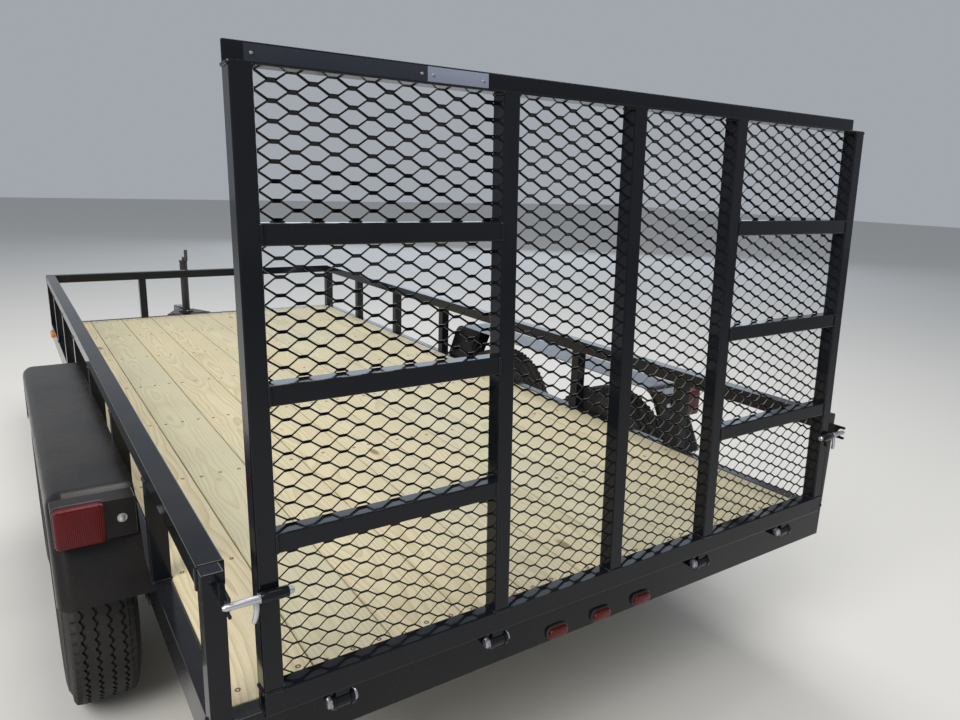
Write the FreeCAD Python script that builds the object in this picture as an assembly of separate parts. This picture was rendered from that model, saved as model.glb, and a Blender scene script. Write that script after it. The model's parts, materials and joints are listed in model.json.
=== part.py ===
"""Tandem-axle utility trailer with an expanded-metal ramp gate, parked on its tongue jack.

Lengths are in millimetres. The model is laid out from the rear face of the bed:
+X runs forward to the hitch, +Y to the left, +Z up from the ground. When a piece is
written out it is moved back by half the trailer's overall length, so that the origin
is the middle of the footprint.
"""
import FreeCAD, Part
import math
import os
from FreeCAD import Vector

os.makedirs("parts", exist_ok=True)

# Bed
bed_length = 4267.0
bed_width = 1956.0
channel_height = 102.0
channel_flange = 41.0
channel_wall = 5.0

# Deck boards
board_count = 10
board_gap = 3.0
board_thickness = 38.0
board_end_gap = 3.0

# Crossmembers
crossmember_count = 6
crossmember_leg = 51.0
crossmember_wall = 5.0
end_crossmember_inset = 60.0

# Side and front rails
rail_height = 320.0
rail_tube = 50.0
rail_wall = 3.0
upright_tube = 44.0
front_upright_offset = 410.0
corner_post = 40.0

# Ramp gate
gate_side_gap = 49.0
gate_member = 38.0
gate_depth = 40.0
gate_wall = 3.0
gate_gap = 6.0
gate_bottom_clearance = 19.0
gate_bottom_rail = 50.0
gate_lean = 2.0
gate_inner_post_offset = 350.0
rung_height = 38.0
rung_pitch = 275.0
rungs_per_bay = 3
post_length = 1107.0
top_angle = 40.0
top_angle_wall = 5.0
sign_height = 28.0
sign_thickness = 2.0
sign_inset = 34.0
sign_length = 335.0
small_sign_length = 135.0

# Gate mesh, drawn four times as coarse as real expanded metal
mesh_thickness = 3.0
mesh_border = 14.0
mesh_inset = 8.0
mesh_strand = 9.0
mesh_columns = 9
mesh_rows = 12

# Gate hinges and latches
hinge_back = 26.0
hinge_drop = 16.0
hinge_inset = 159.0
hinge_pin_radius = 8.0
hinge_running_gap = 0.3
hinge_knuckle_radius = 14.0
hinge_knuckle_length = 30.0
hinge_strap = 12.0
hinge_lug_thickness = 8.0
hinge_side_gap = 1.0
hinge_lug_radius = 17.0
latch_rise = 205.0
latch_rod_radius = 7.0
latch_barrel_radius = 11.0
latch_barrel_length = 51.0
latch_handle_radius = 5.0
latch_handle_length = 45.0
latch_handle_gap = 8.0
latch_tip = 8.0
keeper_thickness = 6.0
keeper_inset = 4.0
keeper_wrap = 8.0
keeper_prong = 10.0
keeper_slot = 24.0

# Tongue and coupler
tongue_reach = 950.0
tongue_half_angle = 25.0
tongue_tip_back = 150.0
tongue_tip_offset = 48.0
tongue_plate_thickness = 8.0
tongue_plate_half_length = 100.0
tongue_plate_edge = 6.0
safety_hole_radius = 9.5
safety_hole_side = 45.0
safety_hole_behind_jack = 75.0
ball_radius = 25.4
ball_gap = 0.6
ball_drop = 36.0
coupler_wall = 9.0
coupler_lip = 14.0
socket_straight = 10.0
socket_top_radius = 12.0
coupler_beam_width = 64.0
coupler_cap_thickness = 6.0
coupler_cap_length = 55.0
lever_length = 65.0
lever_width = 28.0
lever_height = 16.0
lever_ahead = 45.0
lever_handle_length = 45.0
lever_handle_width = 18.0
lever_handle_thickness = 6.0
lever_pin_radius = 5.0
lever_pin_length = 40.0

# Jack
jack_ahead = 640.0
jack_tube_radius = 28.5
jack_tube_bore = 25.3
jack_leg_radius = 24.8
jack_leg_bore = 21.5
jack_tube_drop = 150.0
jack_tube_rise = 407.0
jack_tube_top_wall = 14.0
jack_leg_inside = 222.0
jack_hole_gap = 0.5
jack_foot_size = 120.0
jack_foot_thickness = 8.0
jack_flange_radius = 55.0
jack_flange_thickness = 8.0
jack_cap_height = 10.0
jack_cap_overhang = 3.0
jack_crank_post_radius = 9.0
jack_crank_post_height = 27.0
jack_crank_arm = 110.0
jack_crank_radius = 6.0
jack_crank_drop = 9.0
jack_grip_length = 85.0
jack_grip_radius = 11.0
jack_grip_drop = 10.0

# Wheels
tyre_radius = 343.5
tyre_width = 200.0
tyre_side_gap = 7.0
tread_width = 156.0
shoulder_drop = 36.0
rim_radius = 200.0
rim_width = 168.0
rim_wall = 8.0
disc_thickness = 8.0
disc_offset = 10.0
hub_radius = 55.0
hub_half_length = 50.0
hub_cap_radius = 36.0
hub_cap_wall = 14.0
hub_running_gap = 0.4
wheel_windows = 8
window_inner = 92.0
window_outer = 162.0
window_half_angle = 11.0

# Axles and springs
axle_spread = 850.0
axle_centre = 1550.0
axle_tube_radius = 30.0
axle_beam_short = 120.0
spindle_radius = 22.0
spindle_end = 20.0
spring_inset = 38.0
spring_rise = 34.0
spring_width = 44.0
spring_leaf = 7.0
spring_leaves = 4
spring_leaf_step = 0.2
spring_seat = 8.0
spring_seat_length = 70.0
eye_drop = 48.0
eye_radius = 17.0
eye_bolt_radius = 7.0
eye_bolt_gap = 0.3
hanger_thickness = 6.0
hanger_side_gap = 1.0
hanger_top_half = 38.0
hanger_foot_half = 20.0
equalizer_top_gap = 9.0
equalizer_arm = 62.0
equalizer_end_radius = 14.0
shackle_gap = 5.0
shackle_tilt = 20.0
shackle_strap_radius = 13.0
ubolt_radius = 5.0
ubolt_gap = 1.0
clamp_plate = 8.0
clamp_plate_end = 7.0

# Fenders and lamps
fender_rise = 190.0
fender_drop = 255.0
fender_flat_half = 760.0
fender_end_run = 130.0
fender_corner_radius = 80.0
fender_plate = 3.0
fender_skirt = 60.0
fender_shoulder = 40.0
fender_overhang = 3.0
tail_lens_width = 118.0
tail_lens_height = 112.0
tail_lens_depth = 30.0
tail_lens_corner = 12.0
tail_lens_inset = 10.0
tail_lens_above_fender = 5.0
tail_bracket_depth = 12.0
tail_bracket_edge = 4.0
tail_bracket_inset = 8.0
id_lamp_pitch = 146.0
id_lamp_width = 68.0
id_lamp_height = 36.0
id_lamp_depth = 14.0
id_lamp_rise = 6.0
marker_length = 100.0
marker_height = 38.0
marker_depth = 14.0
marker_from_front = 110.0

# Places worked out from the sizes above
half_bed = bed_width / 2
axle_top = tyre_radius + axle_tube_radius
spring_seat_top = axle_top + spring_seat
spring_middle = spring_seat_top + (spring_leaves - 0.5) * spring_leaf
eye_z = spring_middle + spring_rise
channel_bottom = eye_z + eye_drop
deck_height = channel_bottom + channel_height
board_bottom = deck_height - board_thickness
board_width = (bed_width - 2 * channel_flange - (board_count + 1) * board_gap) / board_count
crossmember_pitch = bed_length / (crossmember_count + 1)
rail_top = deck_height + rail_height
rail_bottom = rail_top - rail_tube
gate_width = bed_width - 2 * (corner_post + gate_side_gap)
half_gate = gate_width / 2
gate_rear = -gate_gap - gate_depth
gate_front = -gate_gap
gate_bottom = deck_height + gate_bottom_clearance
gate_bottom_top = gate_bottom + gate_bottom_rail
post_top = gate_bottom_top + post_length
gate_top = post_top + top_angle
hinge_x = -hinge_back
hinge_z = deck_height - hinge_drop
hinge_offset = half_gate - hinge_inset
latch_x = gate_rear - latch_barrel_radius
latch_z = gate_bottom_top + latch_rise
lean_angle = math.radians(gate_lean)
latch_at_x = (hinge_x + (latch_x - hinge_x) * math.cos(lean_angle)
              + (latch_z - hinge_z) * math.sin(lean_angle))
latch_at_z = (hinge_z - (latch_x - hinge_x) * math.sin(lean_angle)
              + (latch_z - hinge_z) * math.cos(lean_angle))
tyre_centre = half_bed + tyre_side_gap + tyre_width / 2
fender_width = tyre_side_gap + tyre_width + fender_overhang
fender_outer = half_bed + fender_width
fender_top = deck_height + fender_rise
fender_bottom = fender_top - fender_drop
spring_offset = half_bed - spring_inset
shackle_length = eye_radius + equalizer_end_radius + shackle_gap
shackle_run = shackle_length * math.cos(math.radians(shackle_tilt))
equalizer_arm_z = eye_z + shackle_length * math.sin(math.radians(shackle_tilt))
equalizer_pivot_z = channel_bottom - equalizer_top_gap - eye_radius
spring_half_span = axle_spread / 2 - equalizer_arm - shackle_run
ball_x = bed_length + tongue_reach
ball_z = channel_bottom - ball_drop
socket_radius = ball_radius + ball_gap
nose_radius = socket_radius + coupler_wall
tongue_bottom = channel_bottom - channel_height
tongue_tip = ball_x - tongue_tip_back
tongue_tail = bed_length - crossmember_pitch
jack_x = bed_length + jack_ahead
jack_tube_bottom = channel_bottom - jack_tube_drop
jack_tube_top = channel_bottom + jack_tube_rise
nose_x = ball_x + nose_radius
rear_x = latch_at_x - max(latch_barrel_radius, keeper_prong)
centre_x = (nose_x + rear_x) / 2


def box(x0, x1, y0, y1, z0, z1):
    """A block between two corners."""
    return Part.makeBox(x1 - x0, y1 - y0, z1 - z0, Vector(x0, y0, z0))


def prism(points, sweep):
    """A flat outline of 3-D points, carried along one straight sweep."""
    corners = [Vector(*point) for point in points]
    outline = Part.makePolygon(corners + corners[:1])
    return Part.Face(outline).extrude(Vector(*sweep))


def rod(start, direction, length, radius):
    """A round bar from a start point."""
    return Part.makeCylinder(radius, length, Vector(*start), Vector(*direction))


def link(start, end, radius, sweep):
    """A flat bar with round ends between two points, as thick as its sweep."""
    thickness = Vector(*sweep)
    a, b = Vector(*start), Vector(*end)
    along = (b - a).normalize() * radius
    across = along.cross(thickness).normalize() * radius
    edges = [Part.LineSegment(a + across, b + across).toShape(),
             Part.Arc(b + across, b + along, b - across).toShape(),
             Part.LineSegment(b - across, a - across).toShape(),
             Part.Arc(a - across, a - along, a + across).toShape()]
    return Part.Face(Part.Wire(edges)).extrude(thickness)


def mirrored(shape):
    """The same piece on the other side of the trailer."""
    return shape.mirror(Vector(0, 0, 0), Vector(0, 1, 0))


def fused(shapes):
    """Touching pieces joined into one solid, with their common faces merged."""
    joined = shapes[0].multiFuse(shapes[1:]) if len(shapes) > 1 else shapes[0]
    return joined.removeSplitter()


def tube(x0, x1, y0, y1, z0, z1, wall, along):
    """A square tube, open at both ends, whose length runs along 'x', 'y' or 'z'."""
    trim = {axis: 0.0 if axis == along else wall for axis in "xyz"}
    inner = box(x0 + trim["x"], x1 - trim["x"], y0 + trim["y"], y1 - trim["y"],
                z0 + trim["z"], z1 - trim["z"])
    return box(x0, x1, y0, y1, z0, z1).cut(inner)


def write(node, shapes):
    """Move a node's solids to the footprint's middle and write them to its file."""
    solids = []
    for shape in shapes if isinstance(shapes, list) else [shapes]:
        solids += shape.Solids
    whole = solids[0] if len(solids) == 1 else Part.makeCompound(solids)
    whole = whole.copy()
    whole.translate(Vector(-centre_x, 0, 0))
    whole.exportStep("parts/" + node + ".step")


def mitred_channel(length, side):
    """A frame channel whose flanges point inwards and whose ends are cut at 45 degrees.

    It lies along X with its web's outer face at Y = side, centred on X = 0.
    """
    half = length / 2
    plates = []
    for depth, z0, z1 in (
        (channel_wall, channel_bottom, deck_height),
        (channel_flange, channel_bottom, channel_bottom + channel_wall),
        (channel_flange, deck_height - channel_wall, deck_height),
    ):
        plates.append(prism([(-half, side, z0), (half, side, z0), (half - depth, side - depth, z0),
                             (-half + depth, side - depth, z0)], (0, 0, z1 - z0)))
    return fused(plates)


def bed_frame():
    """Two side channels and two end channels, mitred at the corners."""
    left = mitred_channel(bed_length, half_bed)
    left.translate(Vector(bed_length / 2, 0, 0))
    write("frame_side_left", left)
    write("frame_side_right", mirrored(left))
    rear = mitred_channel(bed_width, bed_length / 2)
    rear.rotate(Vector(0, 0, 0), Vector(0, 0, 1), 90)
    front = rear.mirror(Vector(0, 0, 0), Vector(1, 0, 0))
    rear.translate(Vector(bed_length / 2, 0, 0))
    front.translate(Vector(bed_length / 2, 0, 0))
    write("frame_rear_channel", rear)
    write("frame_front_channel", front)


def crossmembers():
    """Angles between the side channels, standing on their lower flanges under the boards."""
    reach = half_bed - channel_wall
    foot = channel_bottom + channel_wall
    places = [end_crossmember_inset]
    places += [crossmember_pitch * (index + 1) for index in range(crossmember_count)]
    places += [bed_length - end_crossmember_inset - crossmember_wall]
    bars = []
    for x in places:
        leg = crossmember_leg if x < bed_length / 2 else -crossmember_leg
        web = box(x, x + crossmember_wall, -reach, reach, foot, board_bottom)
        flange = box(min(x, x + leg + crossmember_wall), max(x + crossmember_wall, x + leg),
                     -reach, reach, board_bottom - crossmember_wall, board_bottom)
        bars.append(fused([web, flange]))
    write("crossmembers", bars)


def deck():
    """Lengthwise treated boards between the side channels, a small gap apart."""
    pitch = board_width + board_gap
    start = -(board_count * pitch - board_gap) / 2
    x0 = channel_flange + board_end_gap
    x1 = bed_length - channel_flange - board_end_gap
    boards = []
    for index in range(board_count):
        y = start + index * pitch
        boards.append(box(x0, x1, y, y + board_width, board_bottom, deck_height))
    write("deck_boards", boards)


def rails():
    """Top rails on uprights at the sides and front, open at the rear for the gate."""
    side = tube(corner_post, bed_length - rail_tube, half_bed - rail_tube, half_bed,
                rail_bottom, rail_top, rail_wall, "x")
    write("top_rail_left", side)
    write("top_rail_right", mirrored(side))
    write("top_rail_front", tube(bed_length - rail_tube, bed_length, -half_bed, half_bed,
                                 rail_bottom, rail_top, rail_wall, "y"))
    left = [tube(bed_length - rail_tube, bed_length, half_bed - rail_tube, half_bed,
                 deck_height, rail_bottom, rail_wall, "z")]
    for index in range(crossmember_count):
        x = crossmember_pitch * (index + 1)
        left.append(tube(x - upright_tube / 2, x + upright_tube / 2, half_bed - upright_tube,
                         half_bed, deck_height, rail_bottom, rail_wall, "z"))
    write("uprights_left", left)
    write("uprights_right", [mirrored(post) for post in left])
    front = []
    for y in (-front_upright_offset, front_upright_offset):
        front.append(tube(bed_length - upright_tube, bed_length, y - upright_tube / 2,
                          y + upright_tube / 2, deck_height, rail_bottom, rail_wall, "z"))
    write("uprights_front", front)


def keeper():
    """A forked plate on the rear corner post, open to the rear, that the gate latch drops into."""
    y0 = half_bed - corner_post + keeper_inset
    half_slot = keeper_slot / 2
    half_plate = half_slot + keeper_wrap
    plate = box(latch_at_x - keeper_prong, 0, y0, y0 + keeper_thickness,
                latch_at_z - half_plate, latch_at_z + half_plate)
    slot = link((latch_at_x, y0 - 1, latch_at_z), (latch_at_x - keeper_slot, y0 - 1, latch_at_z),
                half_slot, (0, keeper_thickness + 2, 0))
    return plate.cut(slot)


def corner_posts():
    """Capped rear posts that end the rails, each with its keeper for the gate latch."""
    post = tube(0, corner_post, half_bed - corner_post, half_bed, deck_height, rail_top,
                rail_wall, "z")
    cap = box(0, corner_post, half_bed - corner_post, half_bed, rail_top - rail_wall, rail_top)
    left = fused([post, cap, keeper()])
    write("corner_post_left", left)
    write("corner_post_right", mirrored(left))


def leaned(shape):
    """Lean a gate piece forward about the hinge line."""
    shape = shape.copy()
    shape.rotate(Vector(hinge_x, 0, hinge_z), Vector(0, 1, 0), gate_lean)
    return shape


def gate_post_centres():
    """The five upright members, from right to left."""
    outer = half_gate - gate_member / 2
    return [-outer, -gate_inner_post_offset, 0.0, gate_inner_post_offset, outer]


def gate_frame():
    """Square-tube posts on a bottom tube, capped by an angle whose upright leg is at the front."""
    half_member = gate_member / 2
    outside = [box(gate_rear, gate_front, -half_gate, half_gate, gate_bottom, gate_bottom_top)]
    inside = [box(gate_rear + gate_wall, gate_front - gate_wall, -half_gate, half_gate,
                  gate_bottom + gate_wall, gate_bottom_top - gate_wall)]
    for y in gate_post_centres():
        outside.append(box(gate_rear, gate_front, y - half_member, y + half_member,
                           gate_bottom_top, post_top))
        inside.append(box(gate_rear + gate_wall, gate_front - gate_wall,
                          y - half_member + gate_wall, y + half_member - gate_wall,
                          gate_bottom_top - gate_wall, post_top))
    tubes = fused(outside).cut(fused(inside))
    cap = box(gate_rear, gate_front, -half_gate, half_gate, post_top, post_top + top_angle_wall)
    upright_leg = box(gate_front - top_angle_wall, gate_front, -half_gate, half_gate,
                      post_top, gate_top)
    write("gate_frame", leaned(fused([tubes, cap, upright_leg])))


def gate_rungs():
    """Short square tubes across the two outer bays, which carry the mesh under a wheel."""
    centres = gate_post_centres()
    rungs = []
    for right, left in ((centres[0], centres[1]), (centres[3], centres[4])):
        for index in range(rungs_per_bay):
            z = gate_bottom_top + rung_pitch * (index + 1)
            rungs.append(leaned(tube(gate_rear, gate_front, right + gate_member / 2,
                                     left - gate_member / 2, z, z + rung_height, gate_wall, "y")))
    write("gate_rungs", rungs)


def gate_mesh():
    """One sheet of expanded metal on the front of the frame: staggered diamonds in a plain border."""
    half_sheet = half_gate - mesh_inset
    low, high = gate_bottom + mesh_inset, gate_top - mesh_inset
    half_long = (half_sheet - mesh_border) / mesh_columns
    half_short = (high - low - 2 * mesh_border) / mesh_rows / 2
    shrink = 1 - mesh_strand / 2 * math.hypot(half_long, half_short) / (half_long * half_short)
    reach_y, reach_z = half_long * shrink, half_short * shrink
    edge = half_sheet - mesh_border

    def ring(points):
        corners = [Vector(gate_front, y, z) for y, z in points]
        return Part.makePolygon(corners + corners[:1])

    outlines = [ring([(-half_sheet, low), (half_sheet, low), (half_sheet, high), (-half_sheet, high)])]
    for row in range(1, 2 * mesh_rows):
        z = low + mesh_border + row * half_short
        shift = row % 2
        for column in range(mesh_columns + 1 - shift):
            y = -edge + (2 * column + shift) * half_long
            left, right = min(y + reach_y, edge), max(y - reach_y, -edge)
            ends = [(left, z)] if left < edge else []
            starts = [(right, z)] if right > -edge else []
            if shift or 0 < column < mesh_columns:
                points = starts + [(y, z - reach_z)] + ends + [(y, z + reach_z)]
            elif column:
                points = [(edge - reach_y, z), (edge, z - reach_z), (edge, z + reach_z)]
            else:
                points = [(reach_y - edge, z), (-edge, z + reach_z), (-edge, z - reach_z)]
            outlines.append(ring(points))
    sheet = Part.makeFace(outlines, "Part::FaceMakerBullseye")
    write("gate_mesh", leaned(sheet.extrude(Vector(mesh_thickness, 0, 0))))


def gate_sign():
    """Two blank plates side by side on the rear of the top angle, a long dark one and a pale one."""
    back = gate_front - top_angle_wall
    middle = (post_top + top_angle_wall + gate_top) / 2
    left = half_gate - sign_inset
    plates = []
    for y0, y1 in ((left - sign_length, left),
                   (left - sign_length - small_sign_length, left - sign_length)):
        plates.append(box(back - sign_thickness, back, y0, y1,
                          middle - sign_height / 2, middle + sign_height / 2))
    write("gate_sign", leaned(plates[0]))
    write("gate_small_sign", leaned(plates[1]))


def gate_latches():
    """A sliding bar in a barrel on each outer post, with a handle that hangs from the bar."""
    inner = half_gate - latch_barrel_length
    tip = half_bed - corner_post + keeper_inset + keeper_thickness + latch_tip
    handle_y = half_gate + latch_handle_gap
    latch = leaned(fused([
        rod((latch_x, inner, latch_z), (0, 1, 0), latch_barrel_length, latch_barrel_radius),
        rod((latch_x, half_gate, latch_z), (0, 1, 0), tip - half_gate, latch_rod_radius),
        rod((latch_x, handle_y, latch_z), (0, 0, -1), latch_handle_length, latch_handle_radius),
    ]))
    write("gate_latches", [latch, mirrored(latch)])


def hinge_places():
    """The four hinges across the gate."""
    return (-hinge_offset, -gate_inner_post_offset, gate_inner_post_offset, hinge_offset)


def gate_hinges():
    """Knuckles under the gate's bottom tube, each on a pin between two lugs on the rear channel."""
    bore = hinge_pin_radius + hinge_running_gap
    half = hinge_knuckle_length / 2
    lug_inner = half + hinge_side_gap
    lug_outer = lug_inner + hinge_lug_thickness
    knuckles, lugs = [], []
    for y in hinge_places():
        barrel = rod((hinge_x, y - half, hinge_z), (0, 1, 0), hinge_knuckle_length,
                     hinge_knuckle_radius)
        strap = box(hinge_x - hinge_strap / 2, hinge_x + hinge_strap / 2, y - half, y + half,
                    hinge_z, gate_bottom)
        hole = rod((hinge_x, y - half - 1, hinge_z), (0, 1, 0), hinge_knuckle_length + 2, bore)
        knuckles.append(leaned(fused([barrel, strap]).cut(hole)))
        pieces = [rod((hinge_x, y - lug_inner, hinge_z), (0, 1, 0), 2 * lug_inner,
                      hinge_pin_radius)]
        for y0 in (y + lug_inner, y - lug_outer):
            eye = link((hinge_x, y0, hinge_z), (0, y0, hinge_z), hinge_lug_radius - 1,
                       (0, hinge_lug_thickness, 0))
            pieces.append(eye.common(box(hinge_x - hinge_lug_radius, 0, y0,
                                         y0 + hinge_lug_thickness, 0, deck_height)))
        lugs.append(fused(pieces))
    write("gate_knuckles", knuckles)
    write("gate_hinge_lugs", lugs)


def tongue_half_width(x):
    """Distance from the middle to a tongue channel's outer face."""
    return tongue_tip_offset + (tongue_tip - x) * math.tan(math.radians(tongue_half_angle))


def tongue():
    """Two converging channels under the bed, with a plate between them that holds the jack."""
    z0, z1 = tongue_bottom, channel_bottom
    start = -channel_height
    run = (tongue_tip - tongue_tail) / math.cos(math.radians(tongue_half_angle)) - 2 * start
    section = [(0, z0), (0, z1), (-channel_flange, z1), (-channel_flange, z1 - channel_wall),
               (-channel_wall, z1 - channel_wall), (-channel_wall, z0 + channel_wall),
               (-channel_flange, z0 + channel_wall), (-channel_flange, z0)]
    left = prism([(start, y, z) for y, z in section], (run, 0, 0))
    left.rotate(Vector(0, 0, 0), Vector(0, 0, 1), -tongue_half_angle)
    left.translate(Vector(tongue_tail, tongue_half_width(tongue_tail), 0))
    left = left.common(box(tongue_tail, tongue_tip, 0, half_bed, z0, z1))
    write("tongue_left", left)
    write("tongue_right", mirrored(left))

    back, front = jack_x - tongue_plate_half_length, jack_x + tongue_plate_half_length
    back_half = tongue_half_width(back) - tongue_plate_edge
    front_half = tongue_half_width(front) - tongue_plate_edge
    plate = prism([(back, -back_half, z1), (front, -front_half, z1), (front, front_half, z1),
                   (back, back_half, z1)], (0, 0, tongue_plate_thickness))
    holes = [rod((jack_x, 0, z1), (0, 0, 1), tongue_plate_thickness,
                 jack_tube_radius + jack_hole_gap)]
    for y in (safety_hole_side - back_half, back_half - safety_hole_side):
        holes.append(rod((jack_x - safety_hole_behind_jack, y, z1), (0, 0, 1),
                         tongue_plate_thickness, safety_hole_radius))
    write("tongue_plate", plate.cut(holes))


def coupler():
    """Ball coupler: a round nose over the ball, a beam back to the channels, and a lever on top."""
    z = channel_bottom
    beam_top = z + coupler_cap_thickness
    half_beam = coupler_beam_width / 2
    nose = rod((ball_x, 0, ball_z - coupler_lip), (0, 0, 1), beam_top - ball_z + coupler_lip,
               nose_radius)
    beam = box(tongue_tip, ball_x, -half_beam, half_beam, ball_z - coupler_lip, beam_top)
    cap_back = tongue_tip - coupler_cap_length
    cap_half = tongue_half_width(cap_back) - tongue_plate_edge
    cap = prism([(cap_back, -cap_half, z), (tongue_tip, -half_beam, z), (tongue_tip, half_beam, z),
                 (cap_back, cap_half, z)], (0, 0, coupler_cap_thickness))
    body = fused([nose, beam, cap])
    straight = coupler_lip + socket_straight
    mouth = rod((ball_x, 0, ball_z - coupler_lip), (0, 0, 1), straight, socket_radius)
    dome = Part.makeCone(socket_radius, socket_top_radius, socket_radius - socket_straight,
                         Vector(ball_x, 0, ball_z + socket_straight))
    write("coupler", body.cut(fused([mouth, dome])))

    front = ball_x - lever_ahead
    back = front - lever_length
    middle = beam_top + lever_height / 2
    handle_back = back - lever_handle_length
    write("coupler_latch", fused([
        box(back, front, -lever_width / 2, lever_width / 2, beam_top, beam_top + lever_height),
        box(handle_back, back, -lever_handle_width / 2, lever_handle_width / 2,
            middle - lever_handle_thickness / 2, middle + lever_handle_thickness / 2),
        rod((front - lever_height, -lever_pin_length / 2, middle), (0, 1, 0), lever_pin_length,
            lever_pin_radius)]))


def jack():
    """Top-wind jack: outer tube with its flange and gear cap, crank, and the sliding leg."""
    height = jack_tube_top - jack_tube_bottom
    body = fused([rod((jack_x, 0, jack_tube_bottom), (0, 0, 1), height, jack_tube_radius),
                  rod((jack_x, 0, channel_bottom + tongue_plate_thickness), (0, 0, 1),
                      jack_flange_thickness, jack_flange_radius),
                  rod((jack_x, 0, jack_tube_top), (0, 0, 1), jack_cap_height,
                      jack_tube_radius + jack_cap_overhang)])
    write("jack_tube", body.cut(rod((jack_x, 0, jack_tube_bottom), (0, 0, 1),
                                    height - jack_tube_top_wall, jack_tube_bore)))
    cap_top = jack_tube_top + jack_cap_height
    arm_z = cap_top + jack_crank_post_height - jack_crank_drop
    write("jack_crank", fused([
        rod((jack_x, 0, cap_top), (0, 0, 1), jack_crank_post_height, jack_crank_post_radius),
        rod((jack_x, 0, arm_z), (-1, 0, 0), jack_crank_arm, jack_crank_radius),
        rod((jack_x - jack_crank_arm, 0, arm_z - jack_grip_drop), (0, 0, 1), jack_grip_length,
            jack_grip_radius)]))
    leg_length = jack_tube_bottom + jack_leg_inside - jack_foot_thickness
    leg = rod((jack_x, 0, jack_foot_thickness), (0, 0, 1), leg_length, jack_leg_radius)
    write("jack_leg", leg.cut(rod((jack_x, 0, jack_foot_thickness), (0, 0, 1), leg_length,
                                  jack_leg_bore)))
    half = jack_foot_size / 2
    write("jack_foot", box(jack_x - half, jack_x + half, -half, half, 0, jack_foot_thickness))


def axle_positions():
    """The front and rear axle lines."""
    return (("front", axle_centre + axle_spread / 2), ("rear", axle_centre - axle_spread / 2))


def leaf_pack(x, y0):
    """Leaves bent to circles about one centre above the axle, the top one with an eye each end."""
    bend = (spring_half_span ** 2 + spring_rise ** 2) / (2 * spring_rise)
    centre = spring_middle + bend

    def at(radius, angle):
        return Vector(x + radius * math.sin(angle), y0, centre - radius * math.cos(angle))

    pieces = []
    for leaf in range(spring_leaves):
        top = bend + (leaf - 0.5) * spring_leaf
        low = top + spring_leaf
        angle = math.asin(spring_half_span * (1 - spring_leaf_step * leaf) / bend)
        edges = [Part.Arc(at(top, -angle), at(top, 0), at(top, angle)).toShape(),
                 Part.LineSegment(at(top, angle), at(low, angle)).toShape(),
                 Part.Arc(at(low, angle), at(low, 0), at(low, -angle)).toShape(),
                 Part.LineSegment(at(low, -angle), at(top, -angle)).toShape()]
        pieces.append(Part.Face(Part.Wire(edges)).extrude(Vector(0, spring_width, 0)))
    bolts = []
    for end in (-1, 1):
        eye = (x + end * spring_half_span, y0, eye_z)
        pieces.append(rod(eye, (0, 1, 0), spring_width, eye_radius))
        bolts.append(rod(eye, (0, 1, 0), spring_width, eye_bolt_radius + eye_bolt_gap))
    return fused(pieces).cut(bolts)


def strap_sides(y0):
    """The inner faces of the two plates that stand either side of a spring or equalizer."""
    return y0 - hanger_side_gap - hanger_thickness, y0 + spring_width + hanger_side_gap


def eye_bolt(x, z, y0):
    """A bolt between the two plates."""
    inner, outer = strap_sides(y0)
    return rod((x, inner + hanger_thickness, z), (0, 1, 0), outer - inner - hanger_thickness,
               eye_bolt_radius)


def hanger(x, bolt_z, y0):
    """A folded bracket under the frame: a top and two tapered sides, with the eye's bolt."""
    inner, outer = strap_sides(y0)
    foot = bolt_z - hanger_foot_half
    top = channel_bottom
    pieces = [eye_bolt(x, bolt_z, y0),
              box(x - hanger_top_half, x + hanger_top_half, inner, outer + hanger_thickness,
                  top - hanger_thickness, top)]
    for y in (inner, outer):
        pieces.append(prism([(x - hanger_top_half, y, top), (x + hanger_top_half, y, top),
                             (x + hanger_foot_half, y, foot), (x - hanger_foot_half, y, foot)],
                            (0, hanger_thickness, 0)))
    return fused(pieces)


def shackle(end, y0):
    """A pair of straps from an equalizer arm to a spring's inner eye, on two bolts."""
    arm_x = axle_centre + end * equalizer_arm
    eye_x = arm_x + end * shackle_run
    pieces = [eye_bolt(arm_x, equalizer_arm_z, y0), eye_bolt(eye_x, eye_z, y0)]
    for y in strap_sides(y0):
        pieces.append(link((arm_x, y, equalizer_arm_z), (eye_x, y, eye_z), shackle_strap_radius,
                           (0, hanger_thickness, 0)))
    return fused(pieces)


def equalizer(y0):
    """A rocker between the two springs: two arms down from the pivot, with bores for its bolts."""
    pivot = (axle_centre, y0, equalizer_pivot_z)
    arms = [rod(pivot, (0, 1, 0), spring_width, eye_radius)]
    ends = [(axle_centre + end * equalizer_arm, y0, equalizer_arm_z) for end in (-1, 1)]
    for end in ends:
        arms.append(link(pivot, end, equalizer_end_radius, (0, spring_width, 0)))
    bolts = [rod(place, (0, 1, 0), spring_width, eye_bolt_radius + eye_bolt_gap)
             for place in [pivot] + ends]
    return fused(arms).cut(bolts)


mitred_corners = 1


def axle_clamp(x, y0):
    """Two U-bolts over the leaves, held by a plate under the axle tube."""
    plate_top = tyre_radius - axle_tube_radius
    plate_bottom = plate_top - clamp_plate
    side = ubolt_radius + ubolt_gap
    bow_z = spring_seat_top + spring_leaves * spring_leaf + side
    near, far = y0 - side, y0 + spring_width + side
    half = axle_tube_radius + 2 * side + clamp_plate_end
    pieces = [box(x - half, x + half, near - side, far + side, plate_bottom, plate_top)]
    for bolt_x in (x - axle_tube_radius - side, x + axle_tube_radius + side):
        path = Part.makePolygon([Vector(bolt_x, near, plate_bottom), Vector(bolt_x, near, bow_z),
                                 Vector(bolt_x, far, bow_z), Vector(bolt_x, far, plate_bottom)])
        section = Part.Wire(Part.makeCircle(ubolt_radius, Vector(bolt_x, near, plate_bottom)))
        pieces.append(path.makePipeShell([section], True, False, mitred_corners))
    return fused(pieces)


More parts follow.
